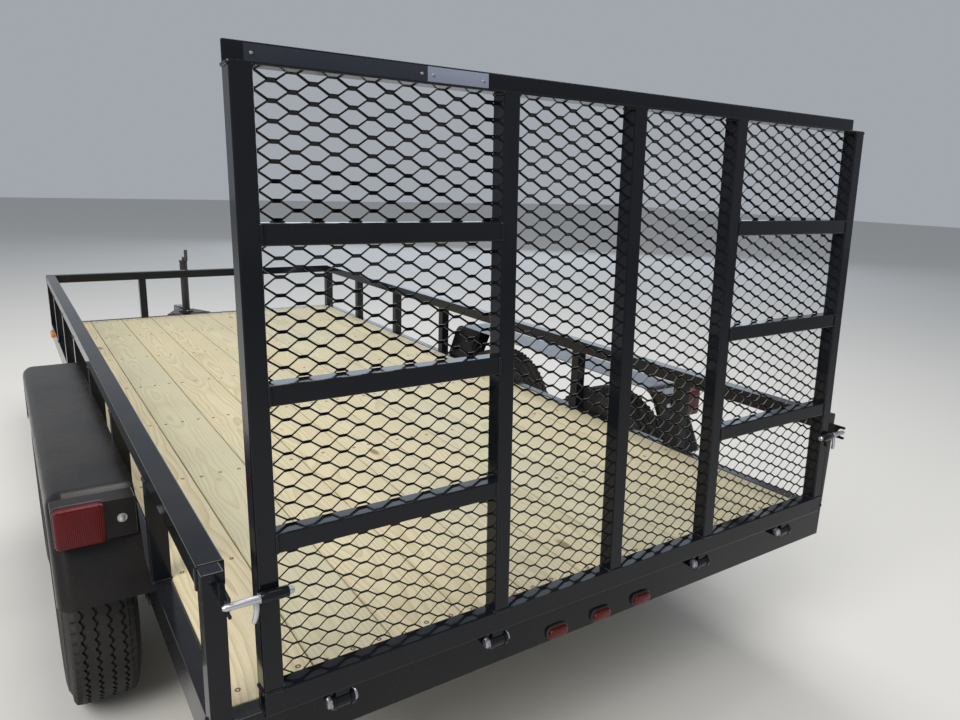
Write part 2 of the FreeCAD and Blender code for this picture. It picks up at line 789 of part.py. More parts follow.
def running_gear():
    """Axles with spring seats, leaf springs, hangers, equalizers, shackles and clamps."""
    y0 = spring_offset - spring_width / 2
    for name, x in axle_positions():
        beam_half = tyre_centre - axle_beam_short
        spindle_half = tyre_centre + spindle_end
        pieces = [rod((x, -beam_half, tyre_radius), (0, 1, 0), 2 * beam_half, axle_tube_radius),
                  rod((x, -spindle_half, tyre_radius), (0, 1, 0), 2 * spindle_half,
                      spindle_radius)]
        for seat_y in (y0, -y0 - spring_width):
            pieces.append(box(x - spring_seat_length / 2, x + spring_seat_length / 2, seat_y,
                              seat_y + spring_width, axle_top - axle_tube_radius / 2,
                              spring_seat_top))
        write("axle_" + name, fused(pieces))

    packs = [leaf_pack(x, y0) for _, x in axle_positions()]
    write("springs_left", packs)
    write("springs_right", [mirrored(pack) for pack in packs])
    reach = axle_spread / 2 + spring_half_span
    hangers = [hanger(axle_centre - reach, eye_z, y0), hanger(axle_centre + reach, eye_z, y0),
               hanger(axle_centre, equalizer_pivot_z, y0)]
    for node, left in (("spring_hangers", hangers), ("equalizers", [equalizer(y0)]),
                       ("spring_shackles", [shackle(end, y0) for end in (-1, 1)]),
                       ("axle_clamps", [axle_clamp(x, y0) for _, x in axle_positions()])):
        write(node, left + [mirrored(piece) for piece in left])


def turned(profile, x):
    """A ring turned about an axle line from its half section of (outward, radius) points."""
    corners = [Vector(x, tyre_centre + outward, tyre_radius + radius)
               for outward, radius in profile]
    section = Part.Face(Part.makePolygon(corners + corners[:1]))
    return section.revolve(Vector(x, 0, tyre_radius), Vector(0, 1, 0), 360)


def tyre(x):
    """Tread, sloping shoulders and side walls, round the rim."""
    half = [(tyre_width / 2, rim_radius), (tyre_width / 2, tyre_radius - shoulder_drop),
            (tread_width / 2, tyre_radius)]
    return turned(half + [(-outward, radius) for outward, radius in reversed(half)], x)


def wheel(x):
    """A pressed steel wheel with windows between its spokes, on a hub with a closed cap."""
    bore = spindle_radius + hub_running_gap
    inner_rim = rim_radius - rim_wall
    disc_in, disc_out = disc_offset - disc_thickness / 2, disc_offset + disc_thickness / 2
    blank = turned([
        (-hub_half_length, bore), (-hub_half_length, hub_radius), (disc_in, hub_radius),
        (disc_in, inner_rim), (-rim_width / 2, inner_rim), (-rim_width / 2, rim_radius),
        (rim_width / 2, rim_radius), (rim_width / 2, inner_rim), (disc_out, inner_rim),
        (disc_out, hub_cap_radius), (hub_half_length, hub_cap_radius), (hub_half_length, 0),
        (hub_half_length - hub_cap_wall, 0), (hub_half_length - hub_cap_wall, bore)], x)
    windows = []
    for index in range(wheel_windows):
        corners = []
        for radius, turn in ((window_inner, -1), (window_outer, -1), (window_outer, 1),
                             (window_inner, 1)):
            angle = 2 * math.pi * index / wheel_windows
            angle += turn * math.radians(window_half_angle)
            corners.append((x + radius * math.cos(angle), tyre_centre + disc_in,
                            tyre_radius + radius * math.sin(angle)))
        windows.append(prism(corners, (0, disc_thickness, 0)))
    return blank.cut(windows)


def wheels():
    """Four tyres on their wheels."""
    for name, x in axle_positions():
        for piece, left in (("tyre_", tyre(x)), ("wheel_", wheel(x))):
            write(piece + name + "_left", left)
            write(piece + name + "_right", mirrored(left))


def fender_edges(depth):
    """The fender's side outline at a depth below its surface, and its rear and front foot."""
    slope = fender_end_run / fender_drop
    top = fender_top - depth
    half_top = fender_flat_half + depth * slope - depth * math.hypot(1, slope)
    half_foot = fender_flat_half + fender_end_run - depth * math.hypot(1, slope)
    radius = fender_corner_radius - depth
    turn = math.pi / 2 - math.atan(slope)
    flat_end = half_top - radius * math.tan(turn / 2)

    def bend(angle):
        return Vector(flat_end + radius * math.sin(angle), 0, top - radius + radius * math.cos(angle))

    def rearward(point):
        return Vector(-point.x, 0, point.z)

    foot, low, mid, high = Vector(half_foot, 0, fender_bottom), bend(turn), bend(turn / 2), bend(0)
    edges = [Part.LineSegment(rearward(foot), rearward(low)).toShape(),
             Part.Arc(rearward(low), rearward(mid), rearward(high)).toShape(),
             Part.LineSegment(rearward(high), high).toShape(),
             Part.Arc(high, mid, low).toShape(),
             Part.LineSegment(low, foot).toShape()]
    return edges, rearward(foot), foot


def fender_block(depth, low_y, high_y, below=0.0):
    """The block under the fender's outline at a depth, between two sides, and some way below its feet."""
    edges, rear, front = fender_edges(depth)
    down = Vector(0, 0, -below)
    loop = edges + [Part.LineSegment(front, rear).toShape()]
    if below:
        loop = edges + [Part.makePolygon([front, front + down, rear + down, rear])]
    block = Part.Face(Part.Wire(loop)).extrude(Vector(0, high_y - low_y, 0))
    block.translate(Vector(0, low_y, 0))
    return block


def rounded_block(depth, high_y):
    """A fender block from the bed's side to an outer side, with the outer edge of its top rounded."""
    block = fender_block(depth, 0, high_y)
    outer = [edge for edge in block.Edges
             if abs(edge.BoundBox.YMin - high_y) < 0.01 and edge.BoundBox.YLength < 0.01
             and edge.BoundBox.ZMax > fender_bottom + 1]
    return block.makeFillet(fender_shoulder - depth, outer)


def fenders():
    """Flat-topped tandem fenders with steep ends, a rounded outer shoulder and a short skirt."""
    left = rounded_block(0.0, fender_width)
    left = left.cut(rounded_block(fender_plate, fender_width - fender_plate))
    left = left.cut(fender_block(fender_skirt, -1, fender_width + 1, below=1.0))
    left.translate(Vector(axle_centre, half_bed, 0))
    write("fender_left", left)
    write("fender_right", mirrored(left))


def tail_lamps():
    """Square lamps with round corners, upright on full-width wedges over the fenders' rear slopes."""
    slope = fender_end_run / fender_drop
    z1 = fender_top + tail_lens_above_fender
    z0 = z1 - tail_lens_height
    y1 = fender_outer - tail_lens_inset
    y0 = y1 - tail_lens_width
    foot_x = axle_centre - fender_flat_half - (fender_top - z0) * slope
    back_x = foot_x - tail_bracket_depth
    lens = box(back_x - tail_lens_depth, back_x, y0, y1, z0, z1)
    corners = [edge for edge in lens.Edges
               if abs(edge.Vertexes[0].X - edge.Vertexes[1].X) > tail_lens_depth / 2]
    lens = lens.makeFillet(tail_lens_corner, corners)
    low, high = z0 - tail_bracket_edge, fender_top - tail_bracket_edge
    low_x = axle_centre - fender_flat_half - (fender_top - low) * slope
    high_x = low_x + (high - low) * slope
    inner_y = half_bed + tail_bracket_inset
    bracket = prism([(back_x, inner_y, low), (low_x, inner_y, low), (high_x, inner_y, high),
                     (back_x, inner_y, high)], (0, y1 - inner_y, 0))
    write("tail_lamp_left", lens)
    write("tail_lamp_right", mirrored(lens))
    write("tail_brackets", [bracket, mirrored(bracket)])


def small_lamps():
    """Three oval red lamps on the rear channel, and an oval amber one at the front of each side."""
    red = []
    radius = id_lamp_height / 2
    z = channel_bottom + id_lamp_rise + radius
    for y in (-id_lamp_pitch, 0.0, id_lamp_pitch):
        half = id_lamp_width / 2 - radius
        red.append(link((-id_lamp_depth, y - half, z), (-id_lamp_depth, y + half, z), radius,
                        (id_lamp_depth, 0, 0)))
    write("id_lamps", red)
    x = bed_length - marker_from_front
    z = channel_bottom + channel_height / 2
    half = (marker_length - marker_height) / 2
    amber = link((x - half, half_bed, z), (x + half, half_bed, z), marker_height / 2,
                 (0, marker_depth, 0))
    write("side_markers", [amber, mirrored(amber)])


bed_frame()
crossmembers()
deck()
rails()
corner_posts()
gate_frame()
gate_rungs()
gate_mesh()
gate_sign()
gate_latches()
gate_hinges()
tongue()
coupler()
jack()
running_gear()
wheels()
fenders()
tail_lamps()
small_lamps()
print("overall length", round(nose_x - rear_x, 1), "centre_x", round(centre_x, 1))
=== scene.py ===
import json
import math

import bpy
import numpy as np
from mathutils import Matrix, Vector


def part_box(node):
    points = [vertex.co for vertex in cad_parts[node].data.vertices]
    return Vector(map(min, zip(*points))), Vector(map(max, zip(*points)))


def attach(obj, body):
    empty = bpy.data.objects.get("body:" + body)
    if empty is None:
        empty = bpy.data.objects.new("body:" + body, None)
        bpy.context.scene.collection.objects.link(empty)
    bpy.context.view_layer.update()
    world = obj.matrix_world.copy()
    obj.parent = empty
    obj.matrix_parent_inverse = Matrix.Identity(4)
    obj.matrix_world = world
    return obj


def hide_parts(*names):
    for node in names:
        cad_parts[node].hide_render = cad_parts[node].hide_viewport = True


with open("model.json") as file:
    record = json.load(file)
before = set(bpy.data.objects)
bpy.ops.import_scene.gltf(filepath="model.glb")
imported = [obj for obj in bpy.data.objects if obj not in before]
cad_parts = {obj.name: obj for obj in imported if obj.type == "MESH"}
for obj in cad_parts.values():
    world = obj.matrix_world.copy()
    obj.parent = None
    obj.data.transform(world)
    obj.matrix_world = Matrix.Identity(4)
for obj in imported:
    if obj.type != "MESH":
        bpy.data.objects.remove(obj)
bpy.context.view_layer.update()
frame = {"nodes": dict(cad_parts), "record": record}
nodes = frame["nodes"]


# The camera stands behind the left rear corner at head height, as the photograph's did.
# It looks forward across the trailer and a little down, through a 27 mm lens.
camera_place = (-3.807, 1.212, 1.602)
camera_heading = math.radians(33.75)
camera_dip = math.radians(13.99)
camera_roll = math.radians(-1.89)
camera_lens = 27.1
camera_sensor = 36.0


def new_object(name, data):
    """An object in the scene, at the origin."""
    thing = bpy.data.objects.new(name, data)
    bpy.context.scene.collection.objects.link(thing)
    return thing


def axes_matrix(right, up, back, place):
    """The matrix whose columns are three axes and a place."""
    matrix = np.eye(4)
    matrix[:3] = np.stack([right, up, back, place], axis=-1)
    return Matrix(matrix.tolist())


def camera_matrix(place, heading, dip, roll):
    """Camera axes from a heading to the right of +X, a dip below level and a roll about the view."""
    level = np.array([math.cos(heading), -math.sin(heading), 0.0])
    ahead = level * math.cos(dip) - (0.0, 0.0, math.sin(dip))
    right = np.array([-math.sin(heading), -math.cos(heading), 0.0])
    down = np.cross(ahead, right)
    right_rolled = math.cos(roll) * right + math.sin(roll) * down
    down_rolled = -math.sin(roll) * right + math.cos(roll) * down
    return axes_matrix(right_rolled, -down_rolled, -ahead, place)


camera = new_object("camera", bpy.data.cameras.new("camera"))
camera.data.lens = camera_lens
camera.data.sensor_width = camera_sensor
camera.matrix_world = camera_matrix(camera_place, camera_heading, camera_dip, camera_roll)
bpy.context.scene.camera = camera


# The floor is a plain pale sheet, far wider than the trailer. Soft daylight comes from the world, two
# broad lamps overhead and a long low panel ahead, which the tops of the black paint mirror.
floor_half = 40.0
floor_colour = (0.60, 0.59, 0.57, 1.0)
floor_roughness = 0.9
daylight_colour = (0.86, 0.92, 1.0, 1.0)
daylight = 0.42
lamp_colour = (1.0, 0.97, 0.92)
panel_colour = (0.72, 0.85, 1.0)

floor_mesh = bpy.data.meshes.new("floor")
floor_mesh.from_pydata([(-floor_half, -floor_half, 0), (floor_half, -floor_half, 0),
                        (floor_half, floor_half, 0), (-floor_half, floor_half, 0)], [], [(0, 1, 2, 3)])
floor = new_object("floor", floor_mesh)
floor_material = bpy.data.materials.new("floor")
floor_material.use_nodes = True
floor_shader = floor_material.node_tree.nodes["Principled BSDF"]
floor_shader.inputs["Base Color"].default_value = floor_colour
floor_shader.inputs["Roughness"].default_value = floor_roughness
floor_mesh.materials.append(floor_material)

world = bpy.data.worlds.new("daylight")
bpy.context.scene.world = world
world.use_nodes = True
background = world.node_tree.nodes["Background"]
background.inputs["Color"].default_value = daylight_colour
background.inputs["Strength"].default_value = daylight


def area_lamp(name, place, target, width, height, watts, colour):
    """A rectangular lamp at a place, facing a target, that the camera itself doesn't see."""
    lamp = new_object(name, bpy.data.lights.new(name, "AREA"))
    lamp.data.shape = "RECTANGLE"
    lamp.data.size, lamp.data.size_y = width, height
    lamp.data.energy = watts
    lamp.data.color = colour
    back = np.subtract(place, target)
    back /= np.linalg.norm(back)
    right = np.cross((0.0, 0.0, 1.0), back)
    right /= np.linalg.norm(right)
    lamp.matrix_world = axes_matrix(right, np.cross(back, right), back, place)
    lamp.visible_camera = False


area_lamp("high lamp", (-5.0, 5.5, 6.5), (0.0, 0.0, 0.6), 4.5, 4.5, 620.0, lamp_colour)
area_lamp("overhead lamp", (0.5, -1.0, 7.5), (0.5, 0.0, 0.0), 7.0, 4.0, 420.0, lamp_colour)
area_lamp("low panel", (9.6, -8.4, 4.8), (-1.5, -0.5, 1.0), 12.0, 8.0, 320.0, panel_colour)
bpy.context.scene.view_settings.view_transform = "Standard"


# The bed is four pressed steel channels welded at mitred corners, under gloss black enamel.
# The enamel has a faint orange-peel skin over slow waves, and thin dust on whatever faces up.
frame_black = (0.006, 0.007, 0.010, 1.0)
road_dust = (0.26, 0.23, 0.19, 1.0)
channel_edge = 0.0015
paint_relief = 0.0006
join_reach = 0.00002
round_angle = math.radians(50)


def new_group(name, inputs, outputs):
    """A shader node group whose sockets are named in words, each a colour or else a plain number."""
    group = bpy.data.node_groups.new(name, "ShaderNodeTree")
    for side, words in (("INPUT", inputs), ("OUTPUT", outputs)):
        for word in words.split():
            kind = "NodeSocketColor" if word == "Colour" else "NodeSocketFloat"
            group.interface.new_socket(word, in_out=side, socket_type=kind)
    return group, group.nodes.new("NodeGroupInput"), group.nodes.new("NodeGroupOutput")


def feed(tree, node, **inputs):
    """Set a node's inputs by name to plain values, or link them from sockets."""
    for name, value in inputs.items():
        socket = node.inputs[name.replace("_", " ")]
        if isinstance(value, bpy.types.NodeSocket):
            tree.links.new(value, socket)
        else:
            socket.default_value = value
    return node


def added(tree, kind, **inputs):
    """A new node of a kind, fed by name."""
    return feed(tree, tree.nodes.new("ShaderNode" + kind), **inputs)


def grouped(tree, group, **inputs):
    """A new node that runs a group, fed by name."""
    node = tree.nodes.new("ShaderNodeGroup")
    node.node_tree = group
    return feed(tree, node, **inputs)


def maths(tree, operation, *values):
    """A Math node's result, from sockets or plain numbers."""
    node = tree.nodes.new("ShaderNodeMath")
    node.operation = operation
    for socket, value in zip(node.inputs, values):
        if isinstance(value, (int, float)):
            socket.default_value = value
        else:
            tree.links.new(value, socket)
    return node.outputs[0]


def noise(tree, vector, scale, detail, roughness=0.5):
    """A noise texture's value over a vector."""
    node = added(tree, "TexNoise", Vector=vector, Scale=scale, Detail=detail, Roughness=roughness)
    return node.outputs["Fac"]


def ramped(tree, value, start, end, low=0.0, high=1.0):
    """A value carried from one range to another and held at the ends."""
    node = added(tree, "MapRange", Value=value, From_Min=start, From_Max=end, To_Min=low, To_Max=high)
    return node.outputs["Result"]


def mixed(tree, factor, first, second):
    """Two colours mixed by a factor, each a socket or a plain colour."""
    node = tree.nodes.new("ShaderNodeMix")
    node.data_type = "RGBA"
    return feed(tree, node, Factor=factor, A=first, B=second).outputs["Result"]


def object_place(tree):
    """The Object coordinates' socket, in metres from the frame's origin."""
    return added(tree, "TexCoord").outputs["Object"]


def dust_group():
    """How much dust lies at a point: cloudy patches, more of it the more the surface faces up."""
    group, given, made = new_group("dust", "Amount", "Mask")
    place = object_place(group)
    facing = added(group, "SeparateXYZ", Vector=added(group, "NewGeometry").outputs["Normal"])
    upward = ramped(group, facing.outputs["Z"], -0.2, 1.0, 0.25, 1.0)
    cloud = ramped(group, noise(group, place, 3.0, 7.0, 0.62), 0.38, 0.68)
    speck = ramped(group, noise(group, place, 160.0, 2.0), 0.42, 0.75, 0.5, 1.0)
    mask = maths(group, "MULTIPLY", maths(group, "MULTIPLY", upward, cloud), speck)
    feed(group, made, Mask=maths(group, "MULTIPLY", mask, given.outputs["Amount"]))
    return group


def enamel_group():
    """Sprayed enamel: its colour under dust, its roughness, and a height of waves and orange peel."""
    group, given, made = new_group("enamel", "Colour Dust Gloss", "Colour Roughness Height")
    place = object_place(group)
    dust = grouped(group, dust_mask, Amount=given.outputs["Dust"]).outputs["Mask"]
    shade = ramped(group, noise(group, place, 1.7, 3.0), 0.3, 0.7, 0.85, 1.15)
    shaded = added(group, "VectorMath", Vector=given.outputs["Colour"])
    shaded.operation = "SCALE"
    feed(group, shaded, Scale=shade)
    streak = ramped(group, noise(group, place, 9.0, 5.0, 0.7), 0.4, 0.7, 0.0, 0.07)
    rough = maths(group, "MULTIPLY_ADD", dust, 0.6, given.outputs["Gloss"])
    peel = noise(group, place, 260.0, 1.0)
    waves = noise(group, place, 14.0, 1.0)
    feed(group, made, Colour=mixed(group, dust, shaded.outputs["Vector"], road_dust),
         Roughness=maths(group, "ADD", rough, streak),
         Height=maths(group, "MULTIPLY_ADD", waves, 6.0, peel))
    return group


dust_mask = dust_group()
enamel = enamel_group()


def new_material(name, bump, bump_reach, metallic=0.0, coat=0.0, specular=0.5):
    """A material and its tree, with its shader's constants set and a bump node on its Normal."""
    material = bpy.data.materials.new(name)
    material.use_nodes = True
    tree = material.node_tree
    relief = added(tree, "Bump", Strength=bump, Distance=bump_reach)
    feed(tree, tree.nodes["Principled BSDF"], Metallic=metallic, Coat_Weight=coat,
         Specular_IOR_Level=specular, Normal=relief.outputs["Normal"])
    return material, tree


def finished(material, colour, roughness, height):
    """The material with its colour, its roughness and its relief's height linked."""
    tree = material.node_tree
    feed(tree, tree.nodes["Principled BSDF"], Base_Color=colour, Roughness=roughness)
    feed(tree, tree.nodes["Bump"], Height=height)
    return material


def enamelled(name, colour, dust, gloss, bump=0.06, **shader_values):
    """A material of the enamel group in one colour."""
    material, tree = new_material(name, bump, paint_relief, **shader_values)
    paint = grouped(tree, enamel, Colour=colour, Dust=dust, Gloss=gloss).outputs
    return finished(material, paint["Colour"], paint["Roughness"], paint["Height"])


def finish_nodes(material, *names, edge=0.0):
    """Give CAD nodes a material, and rounded edges of a width where one is given."""
    for name in names:
        node = nodes[name]
        node.data.materials.clear()
        node.data.materials.append(material)
        if edge:
            node.modifiers.new("join", "WELD").merge_threshold = join_reach
            bevel = node.modifiers.new("round", "BEVEL")
            bevel.width = edge
            bevel.segments = 2
            bevel.limit_method = "ANGLE"
            bevel.angle_limit = round_angle


frame_paint = enamelled("frame enamel", frame_black, dust=0.05, gloss=0.12, coat=0.1, specular=0.2)
finish_nodes(frame_paint, "frame_side_left", "frame_side_right", "frame_rear_channel",
             "frame_front_channel", edge=channel_edge)
side_low, side_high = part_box("frame_side_left")
bed_rear, bed_front = side_low[0], side_high[0]
half_bed, deck_top = side_high[1], side_high[2]


# Six pressed channels cross the bed under the boards, painted with it.
# They are a flange's depth below the deck, so that the boards lie flush with the bed's rim.
crossmember_count = 6
crossmember_pitch = (bed_front - bed_rear) / (crossmember_count + 1)
crossmember_places = bed_rear + crossmember_pitch * np.arange(1, crossmember_count + 1)
finish_nodes(frame_paint, "crossmembers")


# The deck is ten treated pine boards laid lengthwise, sawn flat so that their rings show as long
# loops, with eased edges. Each has its own tone, and its own place in the log.
board_count = 10
board_gap = 0.003
board_ease = 0.0035
board_low, board_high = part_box("deck_boards")
board_pitch = (board_high[1] - board_low[1] + board_gap) / board_count
board_width = board_pitch - board_gap
pine_early = (0.54, 0.47, 0.305, 1.0)
pine_late = (0.37, 0.285, 0.145, 1.0)
pine_green = (0.38, 0.40, 0.30, 1.0)
knot_brown = (0.15, 0.08, 0.033, 1.0)
ring_spacing = 0.0075
log_step = 7.3
pine_dust = 0.3


def grid_faces(rows, columns, close_rows=False, close_columns=False):
    """Quads over a grid of points, each from a point to the next in its row and its column."""
    i = np.arange(rows if close_rows else rows - 1)[:, None]
    j = np.arange(columns if close_columns else columns - 1)[None, :]
    ahead_i, ahead_j = (i + 1) % rows, (j + 1) % columns
    corners = [i * columns + j, i * columns + ahead_j, ahead_i * columns + ahead_j, ahead_i * columns + j]
    return np.stack(np.broadcast_arrays(*corners), axis=-1).reshape(-1, 4)


def rounded_loop(width, height, radius, steps=3):
    """Points round a rectangle whose corners are quarter circles, anticlockwise from the right."""
    turn = np.linspace(0, math.pi / 2, steps + 1)
    loop = []
    for quarter, (across, up) in enumerate(((1, 1), (-1, 1), (-1, -1), (1, -1))):
        angle = turn + quarter * math.pi / 2
        loop.append(np.stack([across * (width / 2 - radius) + radius * np.cos(angle),
                              up * (height / 2 - radius) + radius * np.sin(angle)], axis=-1))
    return np.concatenate(loop)


def outward(part):
    """The part with its faces turned over if its signed volume, a sum of tetrahedra, is negative."""
    vertices, faces = part
    points = vertices - vertices.mean(axis=0)
    fans = np.array([(f[0], f[k], f[k + 1]) for f in faces for k in range(1, len(f) - 1)])
    first, second, third = (points[fans[:, k]] for k in range(3))
    volume = np.einsum("ij,ij->i", first, np.cross(second, third)).sum()
    return vertices, [list(face)[::-1] if volume < 0 else list(face) for face in faces]


def lofted(rings):
    """Rings of points skinned one to the next, with a flat cap on the first and the last."""
    rows, columns = rings.shape[:2]
    faces = grid_faces(rows, columns, close_columns=True).tolist()
    faces.append(list(range(columns)))
    faces.append(list(range((rows - 1) * columns, rows * columns)))
    return outward((rings.reshape(-1, 3), faces))


def bar(loop, start, end, axis, ease=0.0):
    """A loop carried straight along an axis (0, 1 or 2), drawn in by the ease at each end."""
    across = [k for k in range(3) if k != axis]
    stations = [(start, 0), (end, 0)]
    if ease:
        stations = [(start, 1), (start + ease, 0), (end - ease, 0), (end, 1)]
    centre = (loop.max(axis=0) + loop.min(axis=0)) / 2
    half = (loop.max(axis=0) - loop.min(axis=0)) / 2
    rings = np.zeros((len(stations), len(loop), 3))
    for row, (position, small) in enumerate(stations):
        rings[row][:, across] = centre + (loop - centre) * (1 - small * ease / half)
        rings[row, :, axis] = position
    return lofted(rings)


def turned(profile, place, axis, steps, direction=1):
    """Pairs (along, radius) turned about an axis (0, 1 or 2) from a place, up or down it, and capped."""
    profile = np.array(profile) * (direction, 1)
    angle = np.arange(steps) * 2 * math.pi / steps
    across = [k for k in range(3) if k != axis]
    rings = np.zeros((len(profile), steps, 3)) + place
    rings[:, :, axis] += profile[:, :1]
    rings[:, :, across[0]] += profile[:, 1:] * np.cos(angle)
    rings[:, :, across[1]] += profile[:, 1:] * np.sin(angle)
    return lofted(rings)


def joined(parts):
    """Several (vertices, faces) pairs as one pair."""
    corners, faces, count = [], [], 0
    for vertices, polygons in parts:
        corners.append(vertices)
        faces += [[corner + count for corner in polygon] for polygon in polygons]
        count += len(vertices)
    return np.concatenate(corners), faces


def repeated(part, shifts):
    """Copies of one (vertices, faces) pair at an array of shifts, as one pair."""
    vertices, faces = part
    corners = (vertices[None] + shifts[:, None]).reshape(-1, 3)
    steps = (np.arange(len(shifts)) * len(vertices)).tolist()
    return corners, [[corner + step for corner in polygon] for step in steps for polygon in faces]


def flipped(part):
    """The same part on the other side of the trailer's middle plane, its faces still outward."""
    vertices, faces = part
    return vertices * (1, -1, 1), [list(face)[::-1] for face in faces]


def both_sides(*parts):
    """Parts and their copies on the other side, as one pair."""
    return joined(list(parts) + [flipped(part) for part in parts])


def add_piece(name, part, material, body, smooth_angle=None):
    """A closed mesh on its CAD body, with its finish, smooth up to an angle if given."""
    vertices, faces = part
    mesh = bpy.data.meshes.new(name)
    mesh.from_pydata(vertices.tolist(), [], faces)
    mesh.materials.append(material)
    if smooth_angle is not None:
        mesh.polygons.foreach_set("use_smooth", [True] * len(mesh.polygons))
        mesh.set_sharp_from_angle(angle=math.radians(smooth_angle))
    piece = new_object(name, mesh)
    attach(piece, body)
    return piece


def pine():
    """Flat-sawn pine: rings about each board's own pith line, fibres along it, and a tone per board."""
    material, tree = new_material("pine", bump=0.35, bump_reach=0.0012)
    place = object_place(tree)
    split = added(tree, "SeparateXYZ", Vector=place).outputs
    first_gap = board_low[1] - board_gap / 2
    from_edge = maths(tree, "DIVIDE", maths(tree, "SUBTRACT", split["Y"], first_gap), board_pitch)
    number = maths(tree, "FLOOR", from_edge)
    share = maths(tree, "SUBTRACT", maths(tree, "FRACT", from_edge), 0.5)
    across = maths(tree, "MULTIPLY", share, board_pitch)
    chance = tree.nodes.new("ShaderNodeTexWhiteNoise")
    chance.noise_dimensions = "1D"
    feed(tree, chance, W=number)
    picks = added(tree, "SeparateColor", Color=chance.outputs["Color"]).outputs
    shifted = added(tree, "CombineXYZ", X=maths(tree, "MULTIPLY_ADD", number, log_step, split["X"]),
                    Y=maths(tree, "MULTIPLY", across, 3.0), Z=split["Z"])
    wander = noise(tree, shifted.outputs["Vector"], 0.9, 3.0, 0.55)
    pith_y = ramped(tree, picks["Red"], 0.0, 1.0, -0.06, 0.06)
    pith_z = ramped(tree, picks["Green"], 0.0, 1.0, 0.03, 0.11)
    drift = maths(tree, "MULTIPLY_ADD", wander, 0.05, -0.025)
    side = maths(tree, "ADD", maths(tree, "SUBTRACT", across, pith_y), drift)
    deep = maths(tree, "MULTIPLY_ADD", wander, 0.10, pith_z)
    squares = maths(tree, "MULTIPLY_ADD", side, side, maths(tree, "MULTIPLY", deep, deep))
    radius = maths(tree, "SQRT", squares)
    ring = maths(tree, "FRACT", maths(tree, "DIVIDE", radius, ring_spacing))
    late = ramped(tree, ring, 0.45, 0.98)
    fibre_place = added(tree, "Mapping", Vector=place, Scale=(2.0, 110.0, 110.0))
    fibre = noise(tree, fibre_place.outputs["Vector"], 2.0, 4.0, 0.6)
    wood = mixed(tree, maths(tree, "MULTIPLY", late, 0.75), pine_early, pine_late)
    wood = mixed(tree, ramped(tree, fibre, 0.35, 0.75, 0.0, 0.35), wood, pine_late)
    tone = ramped(tree, picks["Blue"], 0.0, 1.0, 0.15, 0.7)
    blotch = ramped(tree, noise(tree, place, 1.3, 5.0, 0.6), 0.3, 0.7, 0.4, 1.0)
    wood = mixed(tree, maths(tree, "MULTIPLY", tone, blotch), wood, pine_green)
    knot_place = added(tree, "Mapping", Vector=place, Scale=(1.6, 4.2, 1.0))
    knots = added(tree, "TexVoronoi", Vector=knot_place.outputs["Vector"], Scale=1.0)
    knot = ramped(tree, knots.outputs["Distance"], 0.035, 0.075, 1.0, 0.0)
    wood = mixed(tree, maths(tree, "MULTIPLY", knot, 0.85), wood, knot_brown)
    dust = grouped(tree, dust_mask, Amount=pine_dust).outputs["Mask"]
    return finished(material, mixed(tree, dust, wood, road_dust), ramped(tree, fibre, 0.3, 0.7, 0.62, 0.82),
                    maths(tree, "MULTIPLY_ADD", late, 0.5, fibre))


board_loop = rounded_loop(board_width, board_high[2] - board_low[2], board_ease)
board_loop += (board_width / 2, (board_high[2] + board_low[2]) / 2)
one_board = bar(board_loop, board_low[0], board_high[0], axis=0, ease=board_ease / 2)
board_shifts = np.zeros((board_count, 3))
board_shifts[:, 1] = board_low[1] + np.arange(board_count) * board_pitch
board_part = repeated(one_board, board_shifts)
boards = add_piece("pine_boards", board_part, pine(), "chassis", 40)
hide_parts("deck_boards")


# Self-drilling screws hold each board at every crossmember and at both ends, three abreast.
# Their dished heads are driven a little below the wood, and have begun to rust.
screw_radius = 0.0062
screw_rust = (0.10, 0.055, 0.03, 1.0)
screw_end_inset = 0.045
screw_side_inset = 0.028
screw_stray = 0.006

screw_paint = enamelled("screw heads", screw_rust, dust=0.3, gloss=0.5, metallic=0.6, bump=0.3)
screw_profile = [(-0.0004, screw_radius), (0.0006, screw_radius), (0.0009, screw_radius * 0.9),
                 (0.0003, screw_radius * 0.45), (-0.0006, screw_radius * 0.3)]
screw_head = turned(screw_profile, (0, 0, board_high[2]), 2, 10)
screw_x = np.concatenate([[board_low[0] + screw_end_inset], crossmember_places,
                          [board_high[0] - screw_end_inset]])
screw_across = np.array([screw_side_inset, board_width / 2, board_width - screw_side_inset])
screw_y = (board_low[1] + board_pitch * np.arange(board_count)[:, None] + screw_across).ravel()
screw_grid = np.stack(np.meshgrid(screw_x, screw_y, [0.0], indexing="ij"), axis=-1).reshape(-1, 3)
screw_grid[:, 0] += screw_stray * np.sin(37.0 * screw_grid[:, 1] + 11.0 * screw_grid[:, 0])
add_piece("deck_screws", repeated(screw_head, screw_grid), screw_paint, "chassis", 50)


# The rails are square steel tube on short uprights, with a capped corner post each side of the
# gate. They are welded to the channels, with a rippled bead at the foot and head of each upright,
# and a strip of plate closes what the corner posts leave open of the rails' rear ends.
tube_edge = 0.0035
bead_radius = 0.0042
bead_ripple = 0.0006
bead_pitch = 0.0045
bead_sink = 0.001
upright_half = 0.022
rail_end_edge = 0.001
rail_end_thickness = 0.0025
paint_gap = 0.0002
rail_low, rail_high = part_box("top_rail_left")
front_upright_low, front_upright_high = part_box("uprights_front")


